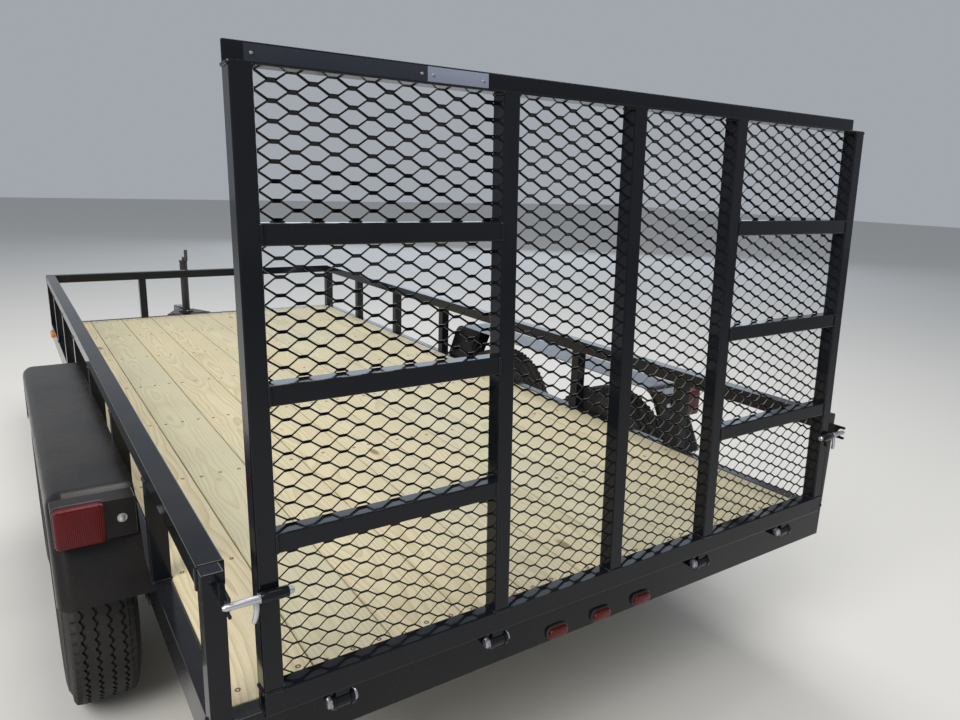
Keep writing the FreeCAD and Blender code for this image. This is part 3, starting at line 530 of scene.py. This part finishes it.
def weld_bead(start, end, radius=bead_radius):
    """A round bead along a line: its radius swells at every ripple and closes in at each end."""
    start, end = np.array(start), np.array(end)
    length = np.linalg.norm(end - start)
    count = max(6, int(length / bead_pitch * 2))
    along = np.linspace(0, 1, count + 1)
    direction = (end - start) / length
    side = np.cross(direction, (0.31, 0.47, 0.83))
    side /= np.linalg.norm(side)
    other = np.cross(direction, side)
    closing = np.minimum(1, np.sin(math.pi * np.clip(along, 0.02, 0.98)) * 6)
    swell = radius * closing + bead_ripple * (np.arange(count + 1) % 2)
    angle = np.arange(6) * math.pi / 3
    spokes = side * np.cos(angle)[:, None] + other * np.sin(angle)[:, None]
    return lofted(start + (end - start) * along[:, None, None] + swell[:, None, None] * spokes)


finish_nodes(frame_paint, "top_rail_left", "top_rail_right", "top_rail_front", "uprights_left",
             "uprights_right", "uprights_front", "corner_post_left", "corner_post_right", edge=tube_edge)
post_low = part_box("corner_post_left")[0]
post_front = rail_low[0]
outer, inner = half_bed, half_bed - 2 * upright_half
side_beads, front_beads = [], []
for weld_z in (deck_top, rail_low[2]):
    for upright_x in crossmember_places:
        rear, front = upright_x - upright_half, upright_x + upright_half
        for weld_y in (outer - bead_sink, inner + bead_sink):
            side_beads.append(weld_bead((rear, weld_y, weld_z), (front, weld_y, weld_z)))
        for weld_x in (rear, front):
            side_beads.append(weld_bead((weld_x, inner, weld_z), (weld_x, outer, weld_z)))
    for upright_y in (front_upright_low[1] + upright_half, front_upright_high[1] - upright_half):
        left, right = upright_y - upright_half, upright_y + upright_half
        for weld_x in (bed_front, bed_front - 2 * upright_half):
            front_beads.append(weld_bead((weld_x, left, weld_z), (weld_x, right, weld_z)))
side_beads.append(weld_bead((bed_rear, rail_low[1], deck_top), (bed_rear, outer, deck_top)))
side_beads.append(weld_bead((bed_rear, outer, deck_top), (post_front, outer, deck_top)))
side_beads.append(weld_bead((post_front, outer, rail_low[2]), (post_front, outer, rail_high[2])))
frame_welds = joined([both_sides(*side_beads)] + front_beads)
add_piece("frame_welds", frame_welds, frame_paint, "chassis", 60)

rail_end_size = np.array([post_low[1] - rail_low[1], rail_high[2] - rail_low[2]]) - 2 * rail_end_edge
rail_end_middle = ((post_low[1] + rail_low[1]) / 2, (rail_high[2] + rail_low[2]) / 2)
rail_end_loop = rounded_loop(*rail_end_size, rail_end_edge, 1) + rail_end_middle
rail_end = bar(rail_end_loop, post_front - rail_end_thickness, post_front - paint_gap, 0)
add_piece("rail_ends", both_sides(rail_end), frame_paint, "chassis", 40)


# The tongue is two converging channels with a plate between them and a pressed ball coupler at
# their meeting end, all painted with the frame. Hex bolts hold the jack's flange to the plate.
zinc_colour = (0.56, 0.57, 0.60, 1.0)
washer_height = 0.0018
flange_height = 0.008
jack_bolt_ring = 0.044
jack_bolt_count = 3
jack_bolt_turn = 60
jack_bolt_size = 0.0075


def bolt_head(place, axis, direction, size):
    """A washer and a six-sided head of a corner radius, standing up from a place along an axis."""
    washer = [(0.0, 1.35 * size), (washer_height, 1.35 * size)]
    head = [(washer_height, size), (0.7 * size, size), (0.8 * size, 0.86 * size)]
    return joined([turned(washer, place, axis, 16, direction), turned(head, place, axis, 6, direction)])


finish_nodes(frame_paint, "tongue_left", "tongue_right", "tongue_plate", edge=channel_edge)
finish_nodes(frame_paint, "coupler", "gate_hinge_lugs")
zinc = enamelled("zinc plate", zinc_colour, dust=0.15, gloss=0.28, metallic=0.9, bump=0.12)
finish_nodes(zinc, "coupler_latch", "gate_latches")
jack_low, jack_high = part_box("jack_tube")
jack_middle = (jack_low[0] + jack_high[0]) / 2
flange_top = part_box("tongue_plate")[1][2] + flange_height
jack_bolts = []
for bolt in range(jack_bolt_count):
    bolt_angle = math.radians(jack_bolt_turn + 360 / jack_bolt_count * bolt)
    bolt_place = (jack_middle + jack_bolt_ring * math.cos(bolt_angle),
                  jack_bolt_ring * math.sin(bolt_angle), flange_top)
    jack_bolts.append(bolt_head(bolt_place, 2, 1, jack_bolt_size))
add_piece("jack_bolts", joined(jack_bolts), zinc, "chassis", 40)


# The jack is a top-wind screw jack: painted outer tube and crank, zinc-plated inner tube and foot.
# Its crank turns on a moulded grip, ribbed round.
gear_black = (0.014, 0.014, 0.015, 1.0)
grip_black = (0.02, 0.02, 0.02, 1.0)
grip_radius = 0.0125
grip_length = 0.083
grip_ribs = 14
grip_rib_height = 0.0007
grip_stand = 0.0005
grip_from_rear = 0.011

gear_paint = enamelled("running gear paint", gear_black, dust=0.45, gloss=0.35, bump=0.25)
finish_nodes(gear_paint, "jack_tube", "jack_crank")
finish_nodes(zinc, "jack_leg", "jack_foot")
crank_low, crank_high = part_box("jack_crank")
grip_plastic = enamelled("grip plastic", grip_black, dust=0.2, gloss=0.5, bump=0.2)
grip_steps = np.linspace(0, grip_length, grip_ribs * 4 + 1)
grip_wave = grip_radius + grip_rib_height * np.cos(grip_steps / grip_length * grip_ribs * 2 * math.pi)
grip_profile = np.stack([crank_high[2] - grip_length + grip_stand + grip_steps, grip_wave], axis=-1)
grip_profile[[0, -1], 1] = grip_radius * 0.75
grip = turned(grip_profile, (crank_low[0] + grip_from_rear, 0.0, 0.0), 2, 20)
add_piece("crank_grip", grip, grip_plastic, "chassis", 50)


# Two axles ride on leaf springs, which hang from brackets and a rocker between them.
# Nuts hold the U-bolts under the clamp plates, bolts pass the eyes, and clips keep the leaves together.
finish_nodes(gear_paint, "axle_front", "axle_rear", "springs_left", "springs_right", "spring_hangers",
             "equalizers", "spring_shackles", "axle_clamps")
spring_low, spring_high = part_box("springs_left")
spring_middle_y = (spring_low[1] + spring_high[1]) / 2
spring_half_width = (spring_high[1] - spring_low[1]) / 2
clamp_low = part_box("axle_clamps")[0]
axle_places = [(low[0] + high[0]) / 2 for low, high in (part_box("axle_rear"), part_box("axle_front"))]
axle_middle = sum(axle_places) / 2
ubolt_side_x, ubolt_side_y = 0.036, spring_half_width + 0.006
ubolt_nut, eye_nut = 0.0085, 0.0095
strap_reach = 0.007
# How far each bolt in an eye is from the rocker's pivot, and its height
eye_bolts = [(0.0, 0.462)] + [(end * reach, height) for end in (-1, 1) for reach, height in
                              ((0.7542, 0.440), (0.062, 0.4523), (0.0958, 0.440))]
clip_offset, clip_z, clip_tilt = 0.155, 0.4065, math.radians(5.6)
clip_height, clip_length, clip_room = 0.0255, 0.020, 0.006
clip_corner, clip_edge = 0.003, 0.0008
eye_head_profile = [(0.0, 0.0095), (0.004, 0.0095), (0.0052, 0.008)]
ubolt_end_profile = [(-0.019, 0.0038), (-0.017, 0.005), (0.0, 0.005)]

gear_bolts = []
for axle_x in axle_places:
    for step_x in (-ubolt_side_x, ubolt_side_x):
        for step_y in (-ubolt_side_y, ubolt_side_y):
            foot = (axle_x + step_x, spring_middle_y + step_y, clamp_low[2])
            gear_bolts += [bolt_head(foot, 2, -1, ubolt_nut), turned(ubolt_end_profile, foot, 2, 12)]
for ahead, height in eye_bolts:
    outer_end = (axle_middle + ahead, spring_high[1] + strap_reach, height)
    inner_end = (axle_middle + ahead, spring_low[1] - strap_reach, height)
    gear_bolts += [turned(eye_head_profile, outer_end, 1, 6), bolt_head(inner_end, 1, -1, eye_nut)]
clip_loop = rounded_loop(2 * spring_half_width + clip_room, clip_height, clip_corner)
for axle_x in axle_places:
    for end in (-1, 1):
        clip, clip_faces = bar(clip_loop, -clip_length / 2, clip_length / 2, 0, clip_edge)
        cosine, sine = math.cos(clip_tilt), end * math.sin(clip_tilt)
        clip = clip @ np.array([(cosine, 0, sine), (0, 1, 0), (-sine, 0, cosine)])
        clip += (axle_x + end * clip_offset, spring_middle_y, clip_z)
        gear_bolts.append((clip, clip_faces))
add_piece("gear_hardware", both_sides(*gear_bolts), gear_paint, "chassis", 40)


# Each tyre is a moulded rubber ring: zigzag grooves round its tread, notched shoulders, side walls
# that swell past the rim, and raised rings near the bead and the shoulder.
tyre_low, tyre_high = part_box("tyre_rear_left")
tyre_radius = (tyre_high[2] - tyre_low[2]) / 2
tyre_width = tyre_high[1] - tyre_low[1]
tyre_bore = 0.1985
bead_inset, bead_step = 0.020, 0.002
tread_half = 0.080
shoulder_drop = 0.030
wall_bulge = 0.014
wall_rings = (-0.80, -0.30, 0.66)
wall_ring_half = 0.020
wall_ring_lift = 0.0013
wall_power = 2.2
groove_places = (-0.050, -0.017, 0.017, 0.050)
groove_half = 0.0038
groove_depth = 0.008
groove_swing = 0.0035
crown_edge, crown_fall = 0.0003, 0.0012
shoulder_notch = 0.007
tread_pitches = 70
pitch_shift = (0.0, 0.32, 0.0, -0.32)
rubber_black = (0.009, 0.009, 0.0095, 1.0)


def tyre_profile():
    """Section round the tyre as (across, radius, notch share, swing share), from bead to bead.

    The wall bulges by a power of its height and lifts at each raised ring; the crown falls with the
    square of the distance from its middle and drops into each groove."""
    half = tyre_width / 2 - wall_ring_lift
    shoulder_radius = tyre_radius - shoulder_drop
    middle, rise = (tyre_bore + shoulder_radius) / 2, (shoulder_radius - tyre_bore) / 2
    ring_steps = wall_ring_half * np.array([-1.6, -0.9, 0.9, 1.6])
    height = np.sort(np.concatenate([np.linspace(-1, 1, 13)] + [ring + ring_steps for ring in wall_rings]))
    lifted = sum(np.abs(height - ring) < wall_ring_half for ring in wall_rings) * wall_ring_lift
    across = half - wall_bulge * np.abs(height) ** wall_power + lifted
    wall = np.stack([across, middle + rise * height, 0 * height, 0 * height], axis=-1)
    shoulder = np.array([(0.0055, 0.0190, 0.6, 0), (0.0020, 0.0100, 1, 0), (-0.0020, 0.0042, 1, 0),
                         (-0.0140, 0.0022, 0.8, 0), (-0.0170, 0.0018, 0, 0)])
    shoulder = shoulder * (1, -1, 1, 1) + (tread_half, tyre_radius, 0, 0)
    crown = []
    for place in sorted(groove_places, reverse=True):
        fall = crown_edge + crown_fall * (place / tread_half) ** 2
        for offset, drop in ((1, 0), (0.6, groove_depth), (-0.6, groove_depth), (-1, 0)):
            crown.append((place + offset * groove_half, tyre_radius - fall - drop, 0, 1))
    left = np.concatenate([wall, shoulder])
    inner = np.array([(bead_inset - half, tyre_bore - bead_step, 0, 0),
                      (half - bead_inset, tyre_bore - bead_step, 0, 0)])
    return np.concatenate([left, np.array(crown), left[::-1] * (-1, 1, 1, 1), inner])


def tyre_part(x, y, z):
    """The section turned about the axle; notches drop the shoulders and grooves swing once a pitch."""
    profile = tyre_profile()
    count = tread_pitches * len(pitch_shift)
    phase = np.arange(count) % len(pitch_shift)
    angle = (np.arange(count) + np.array(pitch_shift)[phase]) * 2 * math.pi / count
    notch = shoulder_notch * np.isin(phase, (0, 3))
    swing = groove_swing * np.array([-1.0, -1.0, 1.0, 1.0])[phase]
    radius = profile[None, :, 1] - notch[:, None] * profile[None, :, 2]
    across = profile[None, :, 0] + swing[:, None] * profile[None, :, 3]
    points = np.stack([x + radius * np.cos(angle)[:, None], y + across,
                       z + radius * np.sin(angle)[:, None]], axis=-1)
    return outward((points.reshape(-1, 3), grid_faces(count, len(profile), True, True).tolist()))


tyre_rubber = enamelled("tyre rubber", rubber_black, dust=0.25, gloss=0.55, bump=0.35, specular=0.3)
wheel_corners = ("front_left", "front_right", "rear_left", "rear_right")
for corner in wheel_corners:
    low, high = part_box("tyre_" + corner)
    wheel_middle = [(low[k] + high[k]) / 2 for k in range(3)]
    tyre = add_piece("rubber_" + corner, tyre_part(*wheel_middle), tyre_rubber,
                     "wheel_" + corner, 35)
    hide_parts("tyre_" + corner)


# The wheels are pressed steel with windows between spokes, enamelled off-white. Five plated cone
# nuts hold each one on its hub, which a pressed cap closes. A rubber valve stands by the rim.
wheel_white = (0.60, 0.60, 0.58, 1.0)
lug_count = 5
lug_ring = 0.0635
disc_face = 0.014
nut_size = 0.0115
nut_profile = [(-0.001, 0.8 * nut_size), (0.005, nut_size), (0.016, nut_size), (0.020, 0.8 * nut_size),
               (0.021, 0.4 * nut_size)]
valve_ring = 0.176
valve_profile = [(-0.004, 0.008), (0.002, 0.008), (0.005, 0.0055), (0.022, 0.0045), (0.030, 0.0048),
                 (0.034, 0.0036)]
cap_profile = [(0.0495, 0.0335), (0.0510, 0.0340), (0.0600, 0.0332), (0.0640, 0.0310), (0.0662, 0.0250),
               (0.0668, 0.0120), (0.0669, 0.0040)]

wheel_paint = enamelled("wheel enamel", wheel_white, dust=0.35, gloss=0.28, coat=0.3)
for corner in wheel_corners:
    finish_nodes(wheel_paint, "wheel_" + corner)
    low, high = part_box("tyre_" + corner)
    wheel_middle = [(low[k] + high[k]) / 2 for k in range(3)]
    out = math.copysign(1.0, wheel_middle[1])
    face = np.array([wheel_middle[0], wheel_middle[1] + out * disc_face, wheel_middle[2]])
    nuts = []
    for lug in range(lug_count):
        lug_angle = 2 * math.pi * (lug + 0.5) / lug_count
        lug_place = face + (lug_ring * math.cos(lug_angle), 0.0, lug_ring * math.sin(lug_angle))
        nuts.append(turned(nut_profile, lug_place, 1, 6, out))
    add_piece("lug_nuts_" + corner, joined(nuts), zinc, "wheel_" + corner, 40)
    hub_cap = turned(cap_profile, wheel_middle, 1, 32, out)
    add_piece("hub_cap_" + corner, hub_cap, zinc, "wheel_" + corner, 40)
    valve = turned(valve_profile, face + (valve_ring, 0.0, 0.0), 1, 14, out)
    add_piece("valve_" + corner, valve, tyre_rubber, "wheel_" + corner, 40)


# The fenders are pressed sheet with a rounded outer shoulder and a short skirt, gloss black.
# Road film dulls their flat tops.
fender_black = (0.010, 0.009, 0.009, 1.0)
bracket_edge = 0.002

fender_paint = enamelled("fender enamel", fender_black, dust=0.10, gloss=0.22, bump=0.10, specular=0.25)
finish_nodes(fender_paint, "fender_left", "fender_right")
finish_nodes(fender_paint, "tail_brackets", edge=bracket_edge)


# The lamps are moulded lenses, fluted inside, red at the rear and amber at the front of each side.
# The square ones clip into black trays, with a plated bolt beside each that holds its bracket.
lens_red = (0.075, 0.001, 0.003, 1.0)
lens_amber = (0.78, 0.20, 0.008, 1.0)
flute_pitch = 0.0045
lens_corner, tray_corner = 0.012, 0.013
lens_ease, tray_ease = 0.006, 0.001
tray_edge = 0.0025
tray_depth = 0.009
lamp_bolt_size = 0.009
bolt_from_lens = 0.040
bolt_rise = 0.050
tray_black = (0.02, 0.02, 0.021, 1.0)
id_half = 0.034
id_rim, id_rim_depth, id_rim_ease = 0.004, 0.006, 0.0015
small_lens_ease = 0.005
marker_depth = 0.014
round_end_gap = 0.0001


def lens_material(name, colour, across):
    """Clear moulded plastic of one colour over a waffle of flutes, with a painted highlight that makes
    their crests paler.
    """
    material, tree = new_material(name, bump=0.35, bump_reach=0.0008, coat=0.1, specular=0.25)
    place = object_place(tree)
    split = added(tree, "SeparateXYZ", Vector=place).outputs
    wave = maths(tree, "SINE", maths(tree, "MULTIPLY", split[across], 2 * math.pi / flute_pitch))
    rows = maths(tree, "SINE", maths(tree, "MULTIPLY", split["Z"], 2 * math.pi / flute_pitch))
    pattern = maths(tree, "ADD", wave, maths(tree, "MULTIPLY", rows, 0.6))
    # The flute crests are painted paler: a painted highlight standing in for light caught by the flutes,
    # not a colour of the plastic.
    crest_glint = ramped(tree, pattern, -1.2, 1.4, 0.0, 0.35)
    pale = tuple(min(1.0, channel * 2.0 + 0.01) for channel in colour[:3]) + (1.0,)
    film = ramped(tree, noise(tree, place, 30.0, 4.0), 0.35, 0.75, 0.06, 0.22)
    return finished(material, mixed(tree, crest_glint, colour, pale), film, pattern)


def lens_part(low, high, axis, direction, radius, ease):
    """A round-cornered block lofted along an axis, full size from its back and drawn in over its front."""
    low, high = np.array(low, dtype=float), np.array(high, dtype=float)
    across = [k for k in range(3) if k != axis]
    size, middle = (high - low)[across], ((high + low) / 2)[across]
    depth = (high - low)[axis]
    start = low[axis] if direction > 0 else high[axis]
    stations = [(0.0, 0.0), (depth - ease, 0.0), (depth - 0.45 * ease, 0.2 * ease),
                (depth - 0.15 * ease, 0.55 * ease), (depth, 1.3 * ease),
                (depth + 0.15 * ease, 0.3 * min(size))]
    rings = []
    for along, inset in stations:
        corner_radius = max(radius - inset, 0.3 * radius, 0.001)
        loop = rounded_loop(size[0] - 2 * inset, size[1] - 2 * inset, corner_radius, 6)
        ring = np.zeros((len(loop), 3))
        ring[:, across] = loop + middle
        ring[:, axis] = start + direction * along
        rings.append(ring)
    return lofted(np.array(rings))


red_lens = lens_material("red lens", lens_red, "Y")
amber_lens = lens_material("amber lens", lens_amber, "X")
tray_plastic = enamelled("lamp tray", tray_black, dust=0.25, gloss=0.45)
tray_parts, bolt_parts = [], []
for side in ("left", "right"):
    low, high = (np.array(corner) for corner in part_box("tail_lamp_" + side))
    inset = np.array([0.0, tray_edge, tray_edge])
    lens = lens_part(low + inset, high - inset, 0, -1, lens_corner, lens_ease)
    lens_piece = add_piece("tail_lens_" + side, lens, red_lens, "chassis", 30)
    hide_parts("tail_lamp_" + side)
    tray_low = (high[0] - tray_depth, low[1], low[2])
    tray_parts.append(lens_part(tray_low, high, 0, -1, tray_corner, tray_ease))
    out = math.copysign(1.0, low[1])
    bolt_y = min(abs(low[1]), abs(high[1])) - bolt_from_lens
    bolt_parts.append(bolt_head((high[0], out * bolt_y, low[2] + bolt_rise), 0, -1, lamp_bolt_size))
add_piece("lamp_trays", joined(tray_parts), tray_plastic, "chassis", 30)
add_piece("lamp_bolts", joined(bolt_parts), zinc, "chassis", 40)

id_low, id_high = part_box("id_lamps")
id_radius = (id_high[2] - id_low[2]) / 2 - round_end_gap
id_lenses, id_rims = [], []
for place in (id_low[1] + id_half, (id_low[1] + id_high[1]) / 2, id_high[1] - id_half):
    lens_low = (id_low[0], place - id_half + id_rim, id_low[2] + id_rim)
    lens_high = (id_high[0], place + id_half - id_rim, id_high[2] - id_rim)
    rim_low = (id_high[0] - id_rim_depth, place - id_half, id_low[2])
    rim_high = (id_high[0], place + id_half, id_high[2])
    id_lenses.append(lens_part(lens_low, lens_high, 0, -1, id_radius - id_rim, small_lens_ease))
    id_rims.append(lens_part(rim_low, rim_high, 0, -1, id_radius, id_rim_ease))
id_piece = add_piece("id_lenses", joined(id_lenses), red_lens, "chassis", 30)
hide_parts("id_lamps")
add_piece("id_rims", joined(id_rims), tray_plastic, "chassis", 30)

marker_low, marker_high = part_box("side_markers")
marker_radius = (marker_high[2] - marker_low[2]) / 2 - round_end_gap
marker_low = (marker_low[0], half_bed, marker_low[2])
marker_high = (marker_high[0], half_bed + marker_depth, marker_high[2])
marker = lens_part(marker_low, marker_high, 1, 1, marker_radius, small_lens_ease)
marker_piece = add_piece("marker_lenses", both_sides(marker), amber_lens, "chassis", 30)
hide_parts("side_markers")


# The ramp gate is a frame of square tube with short rungs in its outer bays, welded together.
# It stands a little forward of upright on four hinges, each a plated bolt through its knuckle.
gate_paint = enamelled("gate enamel", frame_black, dust=0.03, gloss=0.10, coat=0.1, specular=0.2)
gate_lean = math.radians(2.0)
hinge = next(joint for joint in frame["record"]["behaviour"]["joints"] if joint["name"] == "gate_hinge")
hinge_place = np.array(hinge["pos_m"])
hinge_offsets = (-0.730, -0.350, 0.350, 0.730)
hinge_lug_out = 0.024
hinge_bolt_size = 0.0105
gate_half = 0.889
gate_rear, gate_front = -0.020, 0.020
rail_up = 0.085
rungs_per_bay = 3
rung_pitch, rung_height = 0.275, 0.038
post_half = 0.019
inner_post = 0.350
post_tops = 1.192
gate_edge = 0.003
gate_bead = 0.0036


def leaned(part):
    """A part drawn upright as (ahead of the hinge, left, above the hinge), leaned with the gate."""
    points, faces = part
    cosine, sine = math.cos(gate_lean), math.sin(gate_lean)
    points = points @ np.array([(cosine, 0, -sine), (0, 1, 0), (sine, 0, cosine)])
    return points + (hinge_place[0], 0.0, hinge_place[2]), faces


finish_nodes(gate_paint, "gate_frame", "gate_rungs", edge=gate_edge)
finish_nodes(gate_paint, "gate_knuckles")
gate_beads = []
for out in (-1, 1):
    for rung in range(1, rungs_per_bay + 1):
        foot = rail_up + rung_pitch * rung
        for weld_y in (out * (gate_half - 2 * post_half), out * (inner_post + post_half)):
            for weld_x in (gate_rear, gate_front - bead_sink):
                gate_beads.append(weld_bead((weld_x, weld_y, foot), (weld_x, weld_y, foot + rung_height),
                                            gate_bead))
for post_y in (-gate_half + post_half, -inner_post, 0.0, inner_post, gate_half - post_half):
    right, left = post_y - post_half, post_y + post_half
    gate_beads.append(weld_bead((gate_rear, right, rail_up), (gate_rear, left, rail_up), gate_bead))
    for weld_y in (right, left):
        for weld_z in (rail_up, post_tops):
            gate_beads.append(weld_bead((gate_rear, weld_y, weld_z), (gate_front, weld_y, weld_z),
                                        gate_bead))
add_piece("gate_welds", leaned(joined(gate_beads)), gate_paint, "gate", 60)
hinge_bolts = []
for offset in hinge_offsets:
    for out in (1, -1):
        bolt_place = (hinge_place[0], offset + out * hinge_lug_out, hinge_place[2])
        hinge_bolts.append(bolt_head(bolt_place, 1, out, hinge_bolt_size))
add_piece("hinge_bolts", joined(hinge_bolts), zinc, "chassis", 40)


# The mesh is one sheet of expanded steel: slit, stretched into diamonds and welded to the front of
# the frame, so that each strand stands twisted a little out of the sheet.
diamond_long = 0.0720
diamond_short = 0.0323
mesh_ahead = 0.0218
mesh_half_width = 0.8745
mesh_bottom, mesh_top = 0.047, 1.221
strand_width = 0.0037
strand_twist = 0.0026
bond_length = 0.012
sheet_half = 0.0009


def mesh_part():
    """Rows of six-cornered rims, each row half a diamond aside. A hole is its rim moved in by half a
    strand at its slanting sides and by a whole one at its bonds, which tilt out of the sheet. Both are
    doubled through the sheet, and four walls join each corner to the next."""
    rows = int((mesh_top - mesh_bottom) / diamond_short * 2) - 1
    columns = int(2 * mesh_half_width / diamond_long)
    a, b, bond = diamond_long / 2, diamond_short / 2, bond_length / 2
    row, column = np.meshgrid(np.arange(rows), np.arange(columns), indexing="ij")
    centre_y = (column - (columns - 1) / 2) * diamond_long + (row % 2 - 0.5) * a
    centre_z = mesh_bottom + b + row * b
    centres = np.stack([centre_y.ravel(), centre_z.ravel()], axis=-1)
    run = (a - 2 * bond) / b
    hole_end = a - bond - strand_width / 2 * math.hypot(run, 1)
    hole_up = b - strand_width
    hole_flat = hole_end - run * hole_up
    rim = np.array([(a - bond, 0), (bond, b), (-bond, b), (bond - a, 0), (-bond, -b), (bond, -b)])
    hole = np.array([(hole_end, 0), (hole_flat, hole_up), (-hole_flat, hole_up),
                     (-hole_end, 0), (-hole_flat, -hole_up), (hole_flat, -hole_up)])
    tilt = np.array([0, 1, 1, 0, -1, -1]) * strand_twist
    layers = []
    for side in (-1, 1):
        for ring, lift in ((rim, 0 * tilt), (hole, tilt)):
            layer = np.zeros((len(centres), len(ring), 3))
            layer[:, :, 0] = mesh_ahead + side * sheet_half + lift
            layer[:, :, 1:] = centres[:, None] + ring
            layers.append(layer)
    step = np.arange(len(rim))
    pair = np.stack([step, (step + 1) % len(rim)])
    back_rim, back_hole, front_rim, front_hole = (pair + len(rim) * layer for layer in range(4))
    walls = ((front_rim[0], front_rim[1], front_hole[1], front_hole[0]),
             (back_rim[0], back_hole[0], back_hole[1], back_rim[1]),
             (back_hole[0], front_hole[0], front_hole[1], back_hole[1]),
             (back_rim[0], back_rim[1], front_rim[1], front_rim[0]))
    cell = np.concatenate([np.stack(wall, axis=-1) for wall in walls])
    faces = (np.arange(len(centres))[:, None, None] * 4 * len(rim) + cell).reshape(-1, 4)
    return leaned(outward((np.stack(layers, axis=1).reshape(-1, 3), faces.tolist())))


mesh_sheet = add_piece("expanded_metal", mesh_part(), gate_paint, "gate")
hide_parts("gate_mesh")


# Two blank plates are riveted side by side to the top rail, a long dark one and a pale one. The pale one's
# colour is dimmed to a blue grey by painted shade.
# Nothing is printed on them.
plate_dark = (0.018, 0.022, 0.035, 1.0)
# The pale plate's blue grey is painted shade and sky light over a whiter plate.
plate_pale_painted_shade = (0.26, 0.29, 0.38, 1.0)
rivet_inset = 0.012
rivet_sink = 0.0006
rivet_profile = [(0.0, 0.0032), (-0.0012, 0.0027), (-0.0018, 0.0013)]

finish_nodes(enamelled("dark plate", plate_dark, dust=0.15, gloss=0.30), "gate_sign")
finish_nodes(enamelled("plate in painted shade", plate_pale_painted_shade, dust=0.15, gloss=0.35), "gate_small_sign")
rivets = []
for sign in ("gate_sign", "gate_small_sign"):
    low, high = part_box(sign)
    for rivet_y in (low[1] + rivet_inset, high[1] - rivet_inset):
        rivet_place = (low[0] + rivet_sink, rivet_y, (low[2] + high[2]) / 2)
        rivets.append(turned(rivet_profile, rivet_place, 0, 10))
add_piece("sign_rivets", joined(rivets), zinc, "gate", 40)


# Each gate latch is a plated bar that slides in a black barrel on the outer post.
# A handle bent from the same bar hangs from it, and a collar keeps it in.
latch_ahead, latch_up = -0.031, 0.290
barrel_radius, barrel_length = 0.011, 0.051
barrel_rear = gate_half - barrel_length
bar_radius = 0.007
bar_root, bar_tip = barrel_rear - 0.010, 0.956
collar_radius = 0.0098
handle_y = 0.897
handle_drop = 0.045
handle_bow, handle_flare = 0.004, 0.006
handle_radius = 0.005
handle_sides = 12


def swept(path, radii):
    """A round section of a radius for each point of a path, its frame turned as little as can be."""
    along = np.gradient(path, axis=0)
    along /= np.linalg.norm(along, axis=1)[:, None]
    side = np.cross(along[0], (0.3, 0.5, 0.8))
    angle = np.arange(handle_sides) * 2 * math.pi / handle_sides
    rings = []
    for place, direction, radius in zip(path, along, radii):
        side = side - direction * side.dot(direction)
        side /= np.linalg.norm(side)
        spokes = np.outer(np.cos(angle), side) + np.outer(np.sin(angle), np.cross(direction, side))
        rings.append(place + radius * spokes)
    return lofted(np.array(rings))


latch_middle = (latch_ahead, 0.0, latch_up)
bar_profile = [(bar_root, 0.7 * bar_radius), (bar_root + 0.002, bar_radius), (bar_tip - 0.006, bar_radius),
               (bar_tip, 0.55 * bar_radius)]
collar_profile = [(gate_half + 0.0005, 0.9 * collar_radius), (gate_half + 0.0012, collar_radius),
                  (gate_half + 0.0035, collar_radius), (gate_half + 0.0042, 0.9 * collar_radius)]
barrel_profile = [(barrel_rear, 0.93 * barrel_radius), (barrel_rear + 0.001, barrel_radius),
                  (gate_half - 0.001, barrel_radius), (gate_half, 0.93 * barrel_radius)]
drop = np.linspace(0, 1, 14)
handle_path = np.stack([latch_ahead - handle_bow * np.sin(drop * math.pi),
                        handle_y + handle_flare * drop ** 2, latch_up - handle_drop * drop], axis=-1)
handle_radii = handle_radius * np.where(drop > 0.95, 0.7, 1.0)
plated = both_sides(turned(bar_profile, latch_middle, 1, 18), turned(collar_profile, latch_middle, 1, 18),
                    swept(handle_path, handle_radii))
barrels = both_sides(turned(barrel_profile, latch_middle, 1, 20))
bars = add_piece("latch_bars", leaned(plated), zinc, "gate", 40)
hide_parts("gate_latches")
add_piece("latch_barrels", leaned(barrels), gate_paint, "gate", 40)
